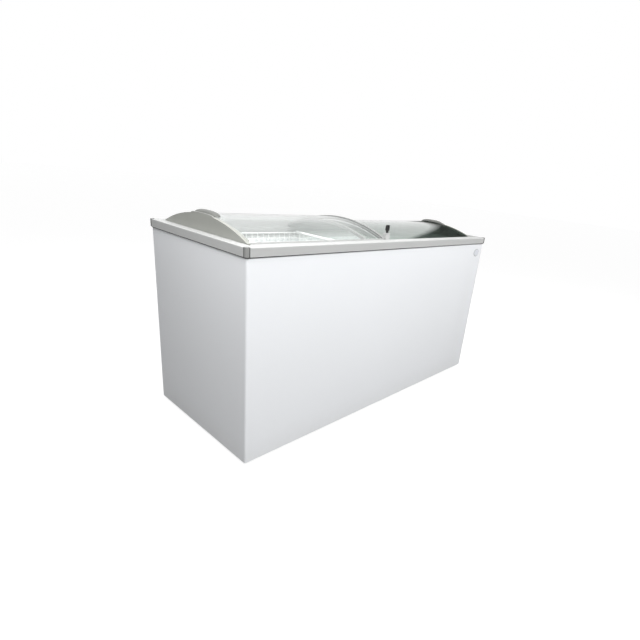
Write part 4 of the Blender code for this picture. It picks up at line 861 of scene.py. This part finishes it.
def pipes():
    """The suction pipe into the compressor, and the liquid pipe with its drier. Each follows its
    marks, which are set off from the step, the compressor and the condenser."""
    riser = span("foam_step_riser")[1][0]
    pot_low, pot_high = span("compressor")
    x, y = (pot_low[0] + pot_high[0]) / 2, (pot_low[1] + pot_high[1]) / 2
    reach = (pot_high[0] - pot_low[0]) / 2 + 0.001
    touch = (x - 0.62 * reach, y + 0.785 * reach)     # on its wall, towards the step and the rear
    suction = flowing_path([(riser, 0.238, 0.215), (riser + 0.016, 0.238, 0.213),
                            (riser + 0.022, 0.240, 0.180), (riser + 0.022, 0.238, 0.130),
                            (riser + 0.034, 0.224, 0.104), (*touch, 0.100)])
    fins, line = span("condenser")[0][0], LIQUID_LINE_Y
    out = flowing_path([(fins, line, 0.062), (fins - 0.016, line, 0.062),
                        (fins - 0.040, line, 0.066), (fins - 0.066, line, 0.070)])
    on = flowing_path([(fins - DRIER_FROM_FINS, line, 0.070), (fins - 0.166, line, 0.076),
                       (riser + 0.030, line, 0.120), (riser, line, 0.140)])
    round_pipe = ring_profile(PIPE_RADIUS, 12)
    piece("suction_pipe", [carried(suction, round_pipe, (0.3, 1, 0.2))], COPPER, "cabinet")
    piece("liquid_pipe", [carried(path, round_pipe, (0, 1, 0)) for path in (out, on)], COPPER,
          "cabinet")
    r = DRIER_RADIUS
    profile = [(PIPE_RADIUS, 0.0), (r * 0.6, 0.006), (r, 0.012), (r, 0.068), (r * 0.6, 0.074),
               (PIPE_RADIUS, 0.080)]
    drier = turned(profile, (fins - DRIER_FROM_FINS, line, 0.070), (1, 0, 0), 32)
    piece("drier", [drier], COPPER, "cabinet")


def dial_marks():
    """Short bars in a fan round the thermostat's knob, longer the further it is turned."""
    low, high = span("thermostat_knob")
    y, z, r = (low[1] + high[1]) / 2, (low[2] + high[2]) / 2, (high[1] - low[1]) / 2
    middle = np.array([low[0] - DIAL_SINK, y, z])
    shapes = []
    for k, angle in enumerate(np.radians(np.linspace(DIAL_START, DIAL_END, DIAL_MARKS))):
        direction = np.array([0.0, math.cos(angle), math.sin(angle)])
        inner = middle + direction * (r + DIAL_GAP)
        path = np.stack([inner, inner + direction * (DIAL_SHORTEST + DIAL_GROWTH * k)])
        shapes.append(carried(path, np.array(SQUARE) * DIAL_HALF_SIZE, (1, 0, 0)))
    piece("dial_marks", shapes, KNOB_WHITE, "cabinet")


oval_plate()
panel_screws()
cap_joint_shade()
rim_painted_shadow()
pipes()
dial_marks()


# ---------------------------------------------------------------- studio
def look(azimuth, down, roll):
    """A camera's turn, with its right, up and backward directions as columns: it looks at an
    azimuth from +Y towards +X and down from level, and is rolled about its line of sight."""
    a, d, r = (math.radians(v) for v in (azimuth, down, roll))
    forward = Vector((math.sin(a) * math.cos(d), math.cos(a) * math.cos(d), -math.sin(d)))
    level = forward.cross(Vector((0, 0, 1))).normalized()
    upright = level.cross(forward)
    right = level * math.cos(r) + upright * math.sin(r)
    up = upright * math.cos(r) - level * math.sin(r)
    return Matrix((right, up, -forward)).transposed()


def camera():
    """A camera off the front left corner, a little above the lids."""
    lens = bpy.data.cameras.new("camera")
    lens.lens, lens.sensor_width = LENS, SENSOR
    lens.shift_x, lens.shift_y = LENS_SHIFT
    lens.clip_start = 0.05
    made = bpy.data.objects.new("camera", lens)
    turn = look(CAMERA_AZIMUTH, CAMERA_DOWN, CAMERA_ROLL)
    made.matrix_world = Matrix.Translation(CAMERA_PLACE) @ turn.to_4x4()
    bpy.context.scene.collection.objects.link(made)
    bpy.context.scene.camera = made


def soft_light(name, place, aim, size, power):
    """A light panel at a place, turned to face an aim point, left out of reflections and of the
    view."""
    data = bpy.data.lights.new(name, "AREA")
    data.shape, data.size, data.size_y, data.energy = "RECTANGLE", size[0], size[1], power
    made = bpy.data.objects.new(name, data)
    made.location = place
    made.rotation_euler = (Vector(aim) - Vector(place)).to_track_quat("-Z", "Y").to_euler()
    made.visible_glossy = made.visible_camera = False
    bpy.context.scene.collection.objects.link(made)


def floor():
    """A flat square, far wider than the view."""
    mesh = bpy.data.meshes.new("floor")
    mesh.from_pydata([(x * FLOOR_HALF, y * FLOOR_HALF, 0) for x, y in SQUARE], [], [(0, 1, 2, 3)])
    mesh.materials.append(studio_floor())
    made = bpy.data.objects.new("floor", mesh)
    bpy.context.scene.collection.objects.link(made)


def surround():
    """White all round for the eye and for reflections, and dimmer for the light that it sheds. A
    dark flag stands beyond the right end, and reflections alone see it. Its left edge moves to the
    right the higher it goes, and its edges are soft."""
    world = bpy.data.worlds.new("surround")
    world.use_nodes = True
    world.node_tree.nodes.clear()
    wire = Wire(world.node_tree)
    direction = wire.node("TexCoord", output="Generated")
    east, north, up = (wire.node("SeparateXYZ", inputs={"Vector": direction}, output=axis)
                       for axis in "XYZ")
    azimuth = wire.maths("ARCTAN2", east, north) * math.degrees(1)
    elevation = wire.maths("ARCSINE", up) * math.degrees(1)
    left_edge = elevation * FLAG_LEAN + FLAG_LEFT
    inside = ((azimuth - left_edge) * (1 / FLAG_SOFT)).clipped() \
        * ((FLAG_RIGHT - azimuth) * (1 / FLAG_SOFT)).clipped() \
        * ((FLAG_TOP - elevation) * (1 / FLAG_SOFT)).clipped()
    seen = wire.node("LightPath", output="Is Camera Ray")
    mirrored = wire.node("LightPath", output="Is Glossy Ray")
    shed = (1.0 - seen) * (1.0 - mirrored) * AMBIENT
    level = shed + seen + mirrored * (1.0 - inside * FLAG_DEPTH) * MIRRORED_WHITE
    shader = wire.node("Background", inputs={"Color": (1.0, 1.0, 1.0, 1.0), "Strength": level})
    wire.node("OutputWorld", inputs={"Surface": shader})
    bpy.context.scene.world = world


camera()
floor()
surround()
soft_light("key", place=(-0.20, -1.95, 2.30), aim=(-0.1, -0.1, 0.45), size=(3.7, 0.9), power=78.0)
soft_light("left_fill", place=(-1.28, -0.35, 1.80), aim=(-0.76, -0.05, 0.75), size=(0.5, 1.2),
           power=19.0)
soft_light("right_fill", place=(1.50, -2.00, 2.00), aim=(0.7, -0.3, 0.4), size=(0.9, 0.9),
           power=12.0)
soft_light("top", place=(0.10, 0.10, 2.70), aim=(0.0, 0.0, 0.3), size=(2.6, 1.2), power=16.0)
soft_light("rear_fill", place=(2.20, 2.10, 1.50), aim=(0.4, 0.2, 0.4), size=(1.6, 1.2), power=42.0)
soft_light("tub_lamp", place=(-0.02, 0.0, 0.7420), aim=(-0.02, 0.0, 0.0), size=(1.28, 0.40),
           power=1.8)
bpy.context.scene.view_settings.view_transform = "Standard"
